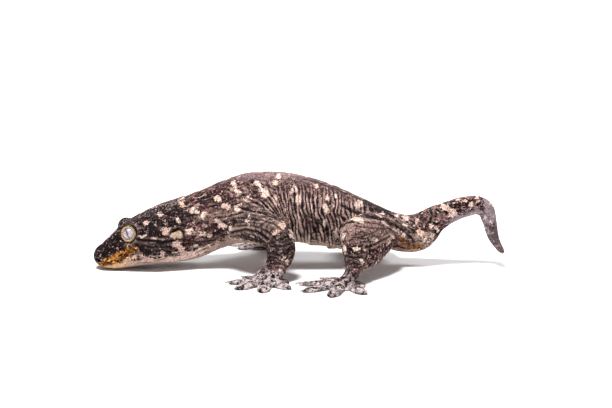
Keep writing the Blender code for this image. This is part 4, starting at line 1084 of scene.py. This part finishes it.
def hide(name, scaly):
    """The gecko's hide. scaly is for the scales, which hold one shade each; the skin between is darker, as
    painted shade.
    """
    made = Finish(name)
    mark = made.attribute
    if scaly:
        fleck = mark("fleck")
    else:
        cell = made.add("ShaderNodeTexVoronoi", None, {"Vector": made.place(), "Scale": 950.0}, output=1)
        fleck = made.add("ShaderNodeSeparateColor", None, {0: cell})
    tone = made.noise(420.0, 4.0, 0.68)  # mottling 2 mm across
    drift = made.noise(60.0)  # slow changes along the body
    fold, folded, night, hand = mark("fold"), mark("folded"), mark("night"), mark("hand")
    height = made.add("ShaderNodeSeparateXYZ", None, {0: made.place()}, output=2)
    along_folds = made.add("ShaderNodeCombineXYZ", None, {0: fold * 1.9, 1: height * 165.0, 2: 0.0})
    along_body = made.add("ShaderNodeMapping", None, {"Vector": made.place(), "Scale": (150.0, 420.0, 560.0)})
    streak, strand = (
        made.add("ShaderNodeTexNoise", None, {"Vector": way, "Scale": 1.0, "Detail": 3.0, "Roughness": 0.65})
        for way in (along_folds, along_body)
    )
    patch = tone + (strand - tone) * mark("grain")
    patch = patch + (streak - patch) * folded

    # the ground colour, from black through brown to grey-pink
    pepper = fleck * 0.5 + (patch - 0.5) * 3.6 + (drift - 0.5) * 0.8 + 0.1
    # the nearly black patches and the head darken the ground colour: dark hide, with painted shade in some
    # patches
    pepper = pepper - night * 0.36 - hand * 0.24 + mark("brown") * 0.24
    colour = made.mix(pepper.between(0.18, 0.54), DARK, MID)
    colour = made.mix(pepper.between(0.50, 0.94), colour, LIGHT)
    colour = made.mix(mark("brown") * (tone + fleck * 0.5).between(0.3, 0.9) * 0.6, colour, WARM_BROWN)
    colour = made.mix((fleck + (tone - 0.5) * 0.5).between(0.96, 1.04), colour, PALE_SCALE)
    # a painted sheen along the top of the back
    ridge = mark("ridge") * (tone * 1.4 + fleck * 0.5).between(0.45, 1.35) * 0.8
    colour = made.mix(ridge, colour, BACK_SHEEN)
    # painted glints on the upward-facing head scales, and pale flecks round the far eye
    colour = made.mix(mark("crown") * (fleck + tone * 0.6).between(1.0, 1.12) * 0.6, colour, CROWN_GLINT_AND_FLECK)
    belly = mark("belly") + (fleck - 0.5) * 0.4 + (strand - 0.5) * 3.0
    cloud = (tone * 1.2 + (drift - 0.5) * 0.6 + fleck * 0.3).between(0.42, 1.0)
    colour = made.mix(belly.between(0.35, 0.85) * (0.35 + cloud * 0.6), colour, BELLY_BUFF)
    colour = made.mix(mark("bulge") * (pepper.between(0.0, 0.6) * 0.9 + 0.1), colour, BULGE_BUFF)
    lilac = mark("lilac") + (fleck - 0.5) * 0.6 + (tone - 0.5) * 1.6
    colour = made.mix(lilac.between(0.1, 1.0) * 0.8, colour, TAIL_LILAC)
    colour = made.mix(mark("tip") * pepper.between(0.8, 0.1), colour, TAIL_END)
    # a painted highlight on the skin raised beside the creases and on the upper arc round each eye
    lit = mark("lit") * (tone * 1.2 + fleck * 0.5).between(0.4, 1.1)
    colour = made.mix(lit * 0.7, colour, FOLD_EDGE_HIGHLIGHT)

    # the pale spots, whiter in their middles and duller on the head
    pale = mark("pale") + (fleck - 0.5) * 0.45 + (patch - 0.5) * 1.1
    spot = made.mix((tone + drift).between(0.8, 1.15), PEACH, CREAM)
    spot = made.mix((fleck - mark("pale") * 0.25).between(0.25, 0.0) * 0.8, spot, TAN)
    spot = made.mix(mark("dull") * (0.75 - fleck * 0.5), spot, HEAD_SPOT)
    colour = made.mix(pale.between(0.45, 0.78), colour, spot)

    # lips, eye rims, ear lobes, and the stain by the vent
    amber = fleck + (tone - 0.5) * 2.8
    upper_lip = made.mix(amber.between(0.22, 0.85), LIP_BLACK, AMBER)
    upper_lip = made.mix(amber.between(0.85, 1.15), upper_lip, GOLD)
    colour = made.mix((mark("lip") + (tone - 0.5) * 0.6).between(0.25, 0.7) * 0.94, colour, upper_lip)
    colour = made.mix(mark("lower") * (fleck + tone).between(0.6, 1.4), colour, LOWER_LIP)
    colour = made.mix(mark("rim"), colour, made.mix(fleck.between(0.0, 0.8), RIM_DARK, RIM_YELLOW))
    colour = made.mix(mark("lobe") * (0.45 + fleck * 0.55), colour, EAR_CREAM)
    colour = made.mix(mark("stain") * (0.5 + fleck * 0.5), colour, RUST)

    # hands and feet
    blotch = made.noise(250.0, 2.0, 0.55) * 2.2 + tone * 0.8 + (fleck - 0.5) * 0.5
    colour = made.mix(hand * blotch.between(1.42, 1.72) * 0.92, colour, FOOT_WHITE)
    edge = mark("margin") * (tone * 1.4 + fleck * 0.4).between(0.74, 1.14)
    colour = made.mix(edge * 0.7, colour, TOE_EDGE)

    # the folds of the flank, with a painted highlight on top and dark between, and every other crease; the
    # dark is partly the hide's own colour and partly painted shade
    line = (fold.reckon("FRACT") - 0.5).reckon("ABSOLUTE")
    # a painted highlight along the tops of the folds
    ridge_light = folded * line.between(0.32, 0.08) * streak.between(0.36, 0.60)
    colour = made.mix(ridge_light * 0.88, colour, FOLD_TOP_HIGHLIGHT)
    broken = (tone * 1.6 + drift * 0.6 + fleck * 0.15).between(0.78, 1.3)
    # the dark lines of the folds and every crease: partly the hide's own colour, partly painted shade
    dark = folded * line.between(0.24, 0.42) * (0.5 + broken * 0.9)
    dark = dark.reckon("MAXIMUM", mark("crease")).reckon("MINIMUM", 1.0)
    colour = made.mix(dark * 0.95, colour, CREASE_DARK_AND_SHADE)
    # the skin between the scales is darkened as painted shade for the crevices among them
    if not scaly:
        colour = made.mix(0.4, colour, SHADE_BETWEEN_SCALES)
    grit = made.noise(2600.0, 2.0, 0.6)
    bump = made.add("ShaderNodeBump", None, {"Strength": 0.3, "Distance": 0.00012, "Height": grit})
    return made.set(Base_Color=colour, Roughness=0.45 + tone * 0.25, Normal=bump, Specular_IOR_Level=0.035)


hide_skin, hide_scales = hide("hide", False), hide("scales", True)
skin.data.materials.clear()
skin.data.materials.append(hide_skin)
skin.data.shade_smooth()

# The baking map: where each place of the skin lies on a flat pattern cut along the belly and the limbs.
turn = np.arctan2(marks[:, 3], marks[:, 2]) / (2 * math.pi)
turn_from_belly = (turn + 0.25) % 1.0
bake_u, bake_v = marks[:, 1] / SPINE_TRACK.length, 0.02 + 0.45 * turn_from_belly
bake_u[part == PART_HEAD] = (x[part == PART_HEAD] - spine_rows[0, 0]) / SPINE_TRACK.length
for kind, right, limb in LIMBS:
    strip = 0.50 + 0.12 * (limb - 1)
    here = part == limb
    bake_u[here] = 0.02 + marks[here, 1] / (190 * MM)
    bake_v[here] = strip + 0.11 * turn_from_belly[here]
    here = part == limb + DIGIT_PART
    centre, toes = hand_layout(kind, right)
    flat = (points[here, :2] - np.array(centre)) / (720 * MM)
    bake_u[here] = 0.74 + flat[:, 0] + np.where(normals[here, 2] > 0, 0, 0.13)
    bake_v[here] = strip + 0.055 + flat[:, 1]
store(skin.data, "bake_u", np.clip(bake_u, 0.004, 0.996))
store(skin.data, "bake_v", np.clip(bake_v, 0.004, 0.996))

# Scales. Small round granules, nearly a millimetre across, cover the hide all over and hardly overlap. Each
# is a low dome rooted in the skin and holds one shade; those on the head stand the proudest.
GRANULES = (  # name, least spacing in mm, and height as a share of the dome's own
    ("scales_head", 0.68, 1.35), ("scales_neck", 0.76, 1.1), ("scales_shoulders", 0.80, 1.0),
    ("scales_loins", 0.80, 1.0), ("scales_tail", 0.76, 1.0), ("scales_front_legs", 0.76, 1.0),
    ("scales_hind_legs", 0.80, 1.0), ("scales_hands", 0.68, 1.0), ("scales_feet", 0.68, 1.0),
)
DOME_SIDES, DOME_SHOULDER = 6, 0.62
DOME_TOP, DOME_SHOULDER_HEIGHT, DOME_ROOT = 0.40, 0.29, -0.14
GRANULE_SHARE = 0.54  # a granule's radius as a share of the gap to its neighbour
MOST_GRANULES = 4.0e6  # to a square metre
PATCH = 0.0015  # half the width of a granule's patch on the baking map
COAT_ENDS = np.array([-100, -50, 5, 66]) * MM  # where the coats of the head, neck, shoulders and loins end
BARE_SOLE = 0.45 * MM  # no granules lower than this


class Tree:
    """Geometry nodes in the making."""

    def __init__(self, name):
        self.group = bpy.data.node_groups.new(name, "GeometryNodeTree")
        self.group.interface.new_socket("Geometry", in_out="OUTPUT", socket_type="NodeSocketGeometry")
        self.inside = self.group.nodes.new("NodeGroupInput")
        self.outside = self.group.nodes.new("NodeGroupOutput")

    def take(self, name, kind):
        self.group.interface.new_socket(name, in_out="INPUT", socket_type="NodeSocket" + kind)
        return self.inside.outputs[name]

    def add(self, kind, settings=None, values=None, output=0):
        """A node of a kind: its settings first, then a value or link for each socket named."""
        node = self.group.nodes.new(kind)
        for key, value in (settings or {}).items():
            setattr(node, key, value)
        for key, value in (values or {}).items():
            if isinstance(value, bpy.types.NodeSocket):
                self.group.links.new(value, node.inputs[key])
            else:
                node.inputs[key].default_value = value
        return node.outputs[output]

    def named(self, name, kind="FLOAT"):
        return self.add("GeometryNodeInputNamedAttribute", {"data_type": kind}, {0: name})

    def grown(self, name, body, **values):
        """A copy of the body with this tree's result as its plain mesh."""
        made = bpy.data.objects.new(name, body.data)
        bpy.context.scene.collection.objects.link(made)
        modifier = made.modifiers.new("grow", "NODES")
        modifier.node_group = self.group
        for item in self.group.interface.items_tree:
            if item.in_out == "INPUT" and item.name in values:
                modifier[item.identifier] = values[item.name]
        return applied(made)


granules = Tree("granules")
body = granules.take("Geometry", "Geometry")
region_wanted = granules.take("Region", "Int")
spacing = granules.take("Spacing", "Float")
height = granules.take("Height", "Float")
seed = granules.take("Seed", "Int")
coat = granules.take("Coat", "Material")
dome_wanted = granules.take("Dome", "Object")
equal = {"data_type": "INT", "operation": "EQUAL"}
here = granules.add("FunctionNodeCompare", equal, {2: granules.named("region", "INT"), 3: region_wanted})
area = granules.add("GeometryNodeSeparateGeometry", {"domain": "FACE"}, {0: body, 1: here})
strewn = granules.add(
    "GeometryNodeDistributePointsOnFaces",
    {"distribute_method": "POISSON"},
    {"Mesh": area, "Distance Min": spacing, "Density Max": MOST_GRANULES, "Seed": seed},
)
aligned = strewn.node.outputs["Rotation"]
spot_place = granules.add("GeometryNodeInputPosition")
next_place = granules.add(
    "GeometryNodeSampleIndex",
    {"data_type": "FLOAT_VECTOR", "domain": "POINT"},
    {0: strewn, 1: spot_place, 2: granules.add("GeometryNodeIndexOfNearest")},
)
between = {0: spot_place, 1: next_place}
gap = granules.add("ShaderNodeVectorMath", {"operation": "DISTANCE"}, between, output=1)
radius = granules.add("ShaderNodeMath", {"operation": "MULTIPLY"}, {0: gap, 1: GRANULE_SHARE})
tall = granules.add("ShaderNodeMath", {"operation": "MULTIPLY"}, {0: radius, 1: height})
size = granules.add("ShaderNodeCombineXYZ", None, {0: radius, 1: radius, 2: tall})
spin = granules.add("FunctionNodeRandomValue", None, {2: 0.0, 3: 2 * math.pi, "Seed": 7}, output=1)
spun = granules.add("FunctionNodeAxisAngleToRotation", None, {0: (0, 0, 1), 1: spin})
facing = granules.add("FunctionNodeRotateRotation", {"rotation_space": "LOCAL"}, {0: aligned, 1: spun})
dome = granules.add("GeometryNodeObjectInfo", None, {0: dome_wanted}, output=4)
standing = {"Points": strewn, "Instance": dome, "Rotation": facing, "Scale": size}
strewn = granules.add("GeometryNodeInstanceOnPoints", None, standing)
shade = granules.add("FunctionNodeRandomValue", None, {"Seed": 3}, output=1)
keep = {"data_type": "FLOAT", "domain": "INSTANCE"}
strewn = granules.add("GeometryNodeStoreNamedAttribute", keep, {0: strewn, 2: "fleck", 3: shade})
strewn = granules.add("GeometryNodeRealizeInstances", None, {0: strewn})
root = granules.add("ShaderNodeCombineXYZ", None, {0: granules.named("bake_u"), 1: granules.named("bake_v")})
nib = granules.named("nib", "FLOAT_VECTOR")
nib = granules.add("ShaderNodeVectorMath", {"operation": "SCALE"}, {0: nib, 3: PATCH})
flat = granules.add("ShaderNodeVectorMath", {"operation": "ADD"}, {0: root, 1: nib})
as_map = {"data_type": "FLOAT2", "domain": "CORNER"}
strewn = granules.add("GeometryNodeStoreNamedAttribute", as_map, {0: strewn, 2: "OFBake", 3: flat})
strewn = granules.add("GeometryNodeSetMaterial", None, {"Geometry": strewn, "Material": coat})
granules.group.links.new(strewn, granules.outside.inputs[0])

turns = [2 * math.pi * i / DOME_SIDES for i in range(DOME_SIDES)]
dome_points, dome_faces = [(0, 0, DOME_TOP)], []
for wide, high in ((DOME_SHOULDER, DOME_SHOULDER_HEIGHT), (1, DOME_ROOT)):
    dome_points += [(wide * math.cos(turn), wide * math.sin(turn), high) for turn in turns]
for i in range(DOME_SIDES):
    a, b = 1 + i, 1 + (i + 1) % DOME_SIDES
    dome_faces += [(0, a, b), (a, a + DOME_SIDES, b + DOME_SIDES), (a, b + DOME_SIDES, b)]
dome = mesh_from("dome", dome_points, dome_faces)
dome.data.shade_smooth()
nibs = dome.data.attributes.new("nib", "FLOAT_VECTOR", "POINT")
nibs.data.foreach_set("vector", np.array([(p[0], p[1], 0) for p in dome_points], np.float32).ravel())

corners = np.empty(len(skin.data.polygons) * 3, np.int32)
skin.data.polygons.foreach_get("vertices", corners)
corners = corners.reshape(-1, 3)
middle = points[corners].mean(1)
face_part, face_trunk = part[corners[:, 0]], on_trunk[corners[:, 0]]
along_trunk = [face_trunk & (middle[:, 0] < end) for end in (*COAT_ENDS, 1.0)]
region = np.select([*along_trunk, face_part <= 2, face_part <= 4, face_part <= DIGIT_PART + 2], range(8), 8)
most_rim, most_socket = get(skin.data, "rim")[corners].max(1), get(skin.data, "socket")[corners].max(1)
bare = (points[corners][:, :, 2].min(1) < BARE_SOLE) | (most_rim > 0.4) | (most_socket > 0.5)
region[bare] = -1
layer = skin.data.attributes.new("region", "INT", "FACE")
layer.data.foreach_set("value", region.astype(np.int32))

skin_points = points
set_points(skin.data, points + PLAN_TO_FRAME)
coats = []
for k, (name, gap_mm, tall_share) in enumerate(GRANULES):
    made = granules.grown(
        name, skin, Region=k, Spacing=gap_mm * MM, Height=tall_share, Seed=k + 1, Coat=hide_scales, Dome=dome
    )
    made.data.attributes.remove(made.data.attributes["nib"])
    coats.append(made)
bpy.data.objects.remove(dome)

FLESH_NODES = ["head", "neck", "torso", "tail_base", "tail_middle", "tail_tip"]
for side_name in ("left", "right"):
    FLESH_NODES += [f"{limb}_{side_name}" for limb in ("leg_front", "leg_hind", "hand", "foot")]
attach(skin, "root")
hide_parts(*FLESH_NODES)
for made in coats:
    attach(made, "root")

# Eyes. The real eye is glassy under its clear scale: a silver-white iris with fine lines, a thin dark rim
# and a narrow upright pupil whose edges are notched. Round it stand two rows of small yellowish scales.
PUPIL_LEAN = math.radians(-24)
PUPIL_AHEAD, PUPIL_HALF_WIDTH = 0.09, 0.122  # in iris radii; it stands a little ahead of the middle
IRIS_LINE, IRIS_SILVER, IRIS_CLOUD = (0.15, 0.115, 0.15), (0.66, 0.57, 0.60), (0.26, 0.23, 0.29)
IRIS_EDGE, PUPIL_EDGE, PUPIL = (0.20, 0.18, 0.20), (0.22, 0.18, 0.20), (0.008, 0.006, 0.010)
AROUND_IRIS = (0.012, 0.009, 0.009)
IRIS_RADIUS = 4.5 * MM


def ball_mesh(name, centre, radius, axes, rings, sides):
    """A ball whose poles lie on the first axis."""
    mesh = bpy.data.meshes.new(name)
    shape = bmesh.new()
    bmesh.ops.create_uvsphere(shape, u_segments=sides, v_segments=rings, radius=radius)
    basis = np.array(axes)
    for vert in shape.verts:
        local = np.array(vert.co)
        vert.co = centre + local[2] * basis[0] + local[0] * basis[1] + local[1] * basis[2]
    bmesh.ops.recalc_face_normals(shape, faces=shape.faces)
    shape.to_mesh(mesh)
    shape.free()
    made = bpy.data.objects.new(name, mesh)
    bpy.context.scene.collection.objects.link(made)
    mesh.shade_smooth()
    return made


def iris_finish():
    made = Finish("silver_eye")
    across, up = made.attribute("iris_across"), made.attribute("iris_up")
    far = (across * across + up * up).reckon("SQRT")
    round_it = up.reckon("ARCTAN2", across)
    rays = made.add("ShaderNodeCombineXYZ", None, {0: round_it * 7.0, 1: far * 1.3, 2: 0.0})
    grain = {"Vector": rays, "Scale": 2.6, "Detail": 4.0, "Roughness": 0.65}
    rays = made.add("ShaderNodeTexNoise", None, grain)
    cloud = made.noise(900.0, 3.0, 0.6)
    colour = made.mix(rays.between(0.38, 0.66), IRIS_LINE, IRIS_SILVER)
    colour = made.mix(cloud.between(0.52, 0.72) * 0.6, colour, IRIS_CLOUD)
    colour = made.mix(far.between(0.72, 1.0) * 0.75, colour, IRIS_EDGE)
    notches, bends = (up * 26.0).reckon("SINE") * 0.03, (up * 7.0).reckon("SINE") * 0.045
    side = (across - PUPIL_AHEAD + up * math.tan(PUPIL_LEAN) + bends).reckon("ABSOLUTE")
    width = PUPIL_HALF_WIDTH + notches - up * up * 0.05
    slit = (width - side).between(-0.025, 0.025) * (0.86 - up.reckon("ABSOLUTE")).between(-0.04, 0.06)
    halo = (width + 0.12 - side).between(-0.06, 0.06) * (0.92 - up.reckon("ABSOLUTE")).between(-0.06, 0.06)
    colour = made.mix(halo * 0.45, colour, PUPIL_EDGE)
    colour = made.mix(slit, colour, PUPIL)
    colour = made.mix(far.between(1.0, 1.06), colour, AROUND_IRIS)
    return made.set(
        Base_Color=colour, Roughness=0.28, Specular_IOR_Level=0.5, Coat_Weight=1.0, Coat_Roughness=0.03
    )


silver = iris_finish()
for name, right in (("eye_left", False), ("eye_right", True)):
    centre, looks = eye_frame(right)
    side, up = ring_axes(looks)
    made = ball_mesh(f"{name}_ball", centre, EYE_RADIUS - 0.1 * MM, (looks, side, up), 48, 64)
    ray = get_points(made.data) - centre
    front = np.where(ray @ looks > 0, 1.0, 9.0)
    store(made.data, "iris_across", ray @ side / IRIS_RADIUS * front)
    store(made.data, "iris_up", ray @ up / IRIS_RADIUS * front)
    set_points(made.data, get_points(made.data) + PLAN_TO_FRAME)
    made.data.materials.append(silver)
    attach(made, "root")
    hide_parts(name)

# Plates. Larger scales edge the mouth, thirteen to a lip on each side, and ring each eye. Every plate is a
# low cushion that follows the skin beneath it and holds one shade.
PLATE_RISE, PLATE_SINK = 0.26 * MM, 0.30 * MM
PLATE_RINGS = (0.0, 0.5, 0.82, 1.0)
PLATE_HEIGHTS = (1.0, 0.93, 0.55, -1.0)  # shares of the rise, or below zero of the sink
skin_tree = BVHTree.FromPolygons(skin_points.tolist(), corners.tolist())
skin_near = KDTree(len(skin_points))
for i, p in enumerate(skin_points):
    skin_near.insert(p, i)
skin_near.balance()
skin_marks = {name: get(skin.data, name) for name in (*MARKINGS, "crease", "lit", "rim")}


class Plates:
    """Cushion-shaped scales laid on the skin, gathered into one piece."""

    def __init__(self, sides=12):
        self.sides, self.points, self.faces, self.flecks = sides, [], [], []

    def lay(self, centre, along, half_long, half_wide, fleck, rise=PLATE_RISE, square=2.6):
        """One plate, its long way along the given direction."""
        centre, normal, _, _ = skin_tree.find_nearest(centre)
        centre, normal = np.array(centre), np.array(normal)
        along = along - (along @ normal) * normal
        along /= np.linalg.norm(along)
        aside = np.cross(normal, along)
        start = len(self.points)
        turn = 2 * math.pi * np.arange(self.sides) / self.sides
        a = np.sign(np.cos(turn)) * abs(np.cos(turn)) ** (2 / square)
        b = np.sign(np.sin(turn)) * abs(np.sin(turn)) ** (2 / square)
        for far, share in zip(PLATE_RINGS, PLATE_HEIGHTS):
            lift = share * (rise if share > 0 else PLATE_SINK)
            count = 1 if far == 0 else self.sides
            for i in range(count):
                place = centre + far * (a[i] * half_long * along + b[i] * half_wide * aside)
                hit, skin_normal, _, _ = skin_tree.find_nearest(place)
                self.points.append(np.array(hit) + lift * (0.6 * normal + 0.4 * np.array(skin_normal)))
        self.flecks += [fleck] * (len(self.points) - start)
        rows = [start + 1 + k * self.sides for k in range(3)]
        for i in range(self.sides):
            j = (i + 1) % self.sides
            self.faces.append((start, rows[0] + i, rows[0] + j))
            for low, high in zip(rows[:-1], rows[1:]):
                self.faces += [(low + i, high + i, high + j), (low + i, high + j, low + j)]

    def piece(self, name, coat, slot, **fixed):
        """The finished piece, which takes its markings from the skin under it unless they are given."""
        made = mesh_from(name, np.array(self.points) + PLAN_TO_FRAME, self.faces)
        nearest = [skin_near.find(p)[1] for p in self.points]
        for mark, values in skin_marks.items():
            store(made.data, mark, np.full(len(nearest), fixed[mark]) if mark in fixed else values[nearest])
        store(made.data, "fleck", self.flecks)
        made.data.materials.append(coat)
        made.data.shade_smooth()
        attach(made, "root")
        return made


def walk(path, step_sizes):
    """Places along a path whose gaps follow the sizes given, with the direction at each."""
    knots = np.append(0, np.cumsum(np.linalg.norm(np.diff(path, axis=0), axis=1)))
    at = np.cumsum(step_sizes) - np.array(step_sizes) / 2
    places = np.stack([np.interp(at, knots, path[:, k]) for k in range(3)], 1)
    ahead = np.stack([np.interp(at + 0.3 * MM, knots, path[:, k]) for k in range(3)], 1)
    return places, ahead - places


draw = np.random.default_rng(31)
upper, lower_lip = Plates(), Plates()
half_path = mouth_path[len(mouth_path) // 2 :]
LIP_SIZES = np.array([1.7, 2.5, 2.9, 3.1, 3.2, 3.2, 3.1, 3.0, 2.8, 2.6, 2.4, 2.1, 1.8]) * MM
for right in (False, True):
    path = half_path if right else mouth_path[: len(mouth_path) // 2][::-1]
    places, ways = walk(path, LIP_SIZES)
    for place_now, way, size in zip(places, ways, LIP_SIZES):
        _, normal, _, _ = skin_tree.find_nearest(place_now)
        up = np.cross(np.array(normal), way) * (1 if right else -1)
        up *= np.sign(up[2]) / np.linalg.norm(up)
        tall = 0.62 * size
        upper.lay(place_now + up * (tall * 0.5 + 0.45 * MM), way, size * 0.47, tall * 0.5, draw.uniform(0, 1))
        under_lip = place_now - up * (tall * 0.45 + 0.40 * MM)
        lower_lip.lay(under_lip, way, size * 0.47, tall * 0.44, draw.uniform(0, 1))
upper.piece("upper_lip_scales", hide_scales, "mottled_hide", crease=0.0, pale=0.0)
lower_lip.piece("lower_lip_scales", hide_scales, "mottled_hide", crease=0.0, pale=0.0)

RIM_ROWS = (  # radius, count, half length and half width in mm, and how light the row is
    (EYE_OPENING + 0.62 * MM, 20, 0.70, 0.56, 0.45),
    (EYE_OPENING + 1.5 * MM, 26, 0.62, 0.36, 0.0),
)
RIM_STANDS, RIM_RISE = 4.3 * MM, 0.22 * MM
rims = Plates(8)
for right in (False, True):
    centre, looks = eye_frame(right)
    side, up = ring_axes(looks)
    for k, (radius, count, half_long, half_wide, lightest) in enumerate(RIM_ROWS):
        for i in range(count):
            turn = 2 * math.pi * (i + 0.5 * k) / count
            out = side * math.cos(turn) * 0.97 + up * math.sin(turn) * 1.05
            way = -side * math.sin(turn) + up * math.cos(turn)
            grow = draw.uniform(0.9, 1.1)
            at = centre + looks * RIM_STANDS + out * radius
            fleck = lightest + 0.5 * draw.uniform(0, 1)
            rims.lay(at, way, half_long * MM * grow, half_wide * MM, fleck, RIM_RISE, 2.2)
rims.piece("eye_rims", hide_scales, "mottled_hide", crease=0.0, pale=0.0, rim=1.0)

# Claws. Each toe ends in a short curved claw of dark horn, pale at the root, that lies just off the ground.
CLAW_LENGTH = 3.4 * MM
CLAW_SIDES = 10
claw_rings = (  # share of the length, height in mm, half width in mm
    (-0.75, 1.5, 0.74), (-0.3, 1.72, 0.74), (0.1, 1.78, 0.68), (0.4, 1.68, 0.56), (0.65, 1.42, 0.42),
    (0.85, 1.08, 0.28), (0.96, 0.82, 0.16),
)
claw_points, claw_faces, claw_shares = [], [], []
for kind, right, limb in LIMBS:
    centre, toes = hand_layout(kind, right)
    for way, length in toes:
        ahead = np.array([math.cos(way), math.sin(way), 0])
        aside = np.array([-math.sin(way), math.cos(way), 0])
        root_place = np.array([*centre, 0]) + ahead * length * MM
        start = len(claw_points)
        for share, height_mm, thick in claw_rings:
            middle = root_place + ahead * share * CLAW_LENGTH + np.array([0, 0, height_mm * MM])
            for i in range(CLAW_SIDES):
                turn = 2 * math.pi * i / CLAW_SIDES
                offset = 0.8 * math.cos(turn) * aside + math.sin(turn) * np.array([0, 0, 1.0])
                claw_points.append(middle + offset * thick * MM)
                claw_shares.append(share)
        claw_points.append(root_place + ahead * 1.0 * CLAW_LENGTH + np.array([0, 0, 0.66 * MM]))
        claw_shares.append(1.0)
        last = start + (len(claw_rings) - 1) * CLAW_SIDES
        for k in range(len(claw_rings) - 1):
            for i in range(CLAW_SIDES):
                a, b = start + k * CLAW_SIDES + i, start + k * CLAW_SIDES + (i + 1) % CLAW_SIDES
                claw_faces += [(a, b, b + CLAW_SIDES), (a, b + CLAW_SIDES, a + CLAW_SIDES)]
        point = len(claw_points) - 1
        claw_faces += [(last + i, last + (i + 1) % CLAW_SIDES, point) for i in range(CLAW_SIDES)]
        claw_faces.append(tuple(start + CLAW_SIDES - 1 - i for i in range(CLAW_SIDES)))
claws = mesh_from("claws", np.array(claw_points) + PLAN_TO_FRAME, claw_faces)
store(claws.data, "tip", claw_shares)
horn = Finish("horn")
grain = horn.noise(1500.0, 3.0, 0.6)
shade_of_horn = (horn.attribute("tip") + (grain - 0.5) * 0.4).between(-0.1, 0.8)
horn_colour = horn.mix(shade_of_horn, (0.30, 0.22, 0.17), (0.035, 0.022, 0.018))
horn_rough = 0.3 + grain * 0.15
claws.data.materials.append(horn.set(Base_Color=horn_colour, Roughness=horn_rough, Specular_IOR_Level=0.5))
claws.data.shade_smooth()
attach(claws, "root")

# Floor and light. A pale sweep and soft, wide lamps, as for a museum piece in a studio.
FLOOR_FRONT, FLOOR_BACK, SWEEP_RADIUS, SWEEP_STEPS = -2.5, 1.2, 0.8, 12
SWEEP_HALF, SWEEP_HIGH = 3.5, 3.5
sweep_profile = [(FLOOR_FRONT, 0.0), (FLOOR_BACK, 0.0)]
for i in range(1, SWEEP_STEPS + 1):
    turn = math.radians(90 * i / SWEEP_STEPS)
    sweep_profile.append((FLOOR_BACK + SWEEP_RADIUS * math.sin(turn), SWEEP_RADIUS * (1 - math.cos(turn))))
sweep_profile.append((FLOOR_BACK + SWEEP_RADIUS, SWEEP_HIGH))
sweep_points = [(side * SWEEP_HALF, y, z) for y, z in sweep_profile for side in (-1, 1)]
sweep_faces = [(2 * i, 2 * i + 1, 2 * i + 3, 2 * i + 2) for i in range(len(sweep_profile) - 1)]
sweep = mesh_from("sweep", sweep_points, sweep_faces)
sweep.data.shade_smooth()
paper = Finish("paper")
sweep.data.materials.append(paper.set(Base_Color=(0.86, 0.86, 0.87), Roughness=0.9, Specular_IOR_Level=0.1))


def lamp(name, place, aim, size, watts, colour=(1, 1, 1)):
    data = bpy.data.lights.new(name, "AREA")
    data.shape, data.size, data.energy, data.color = "DISK", size, watts, colour
    made = bpy.data.objects.new(name, data)
    made.location = place
    made.rotation_euler = (Vector(aim) - Vector(place)).to_track_quat("-Z", "Y").to_euler()
    bpy.context.scene.collection.objects.link(made)


lamp("key", (-0.25, -0.42, 1.3), (0, 0, 0.03), 0.45, 36)
lamp("fill", (0.8, -1.0, 0.5), (0, 0, 0.03), 0.8, 2)
lamp("rim", (0.35, 0.8, 1.0), (0, 0, 0.04), 0.5, 9)
lamp("backdrop", (0.0, 0.9, 0.9), (0, 2.0, 0.5), 1.2, 30)
bpy.context.scene.view_settings.view_transform = "Standard"
world = bpy.data.worlds.new("studio")
world.use_nodes = True
world.node_tree.nodes["Background"].inputs["Color"].default_value = (1, 1, 1, 1)
world.node_tree.nodes["Background"].inputs["Strength"].default_value = 0.22
bpy.context.scene.world = world
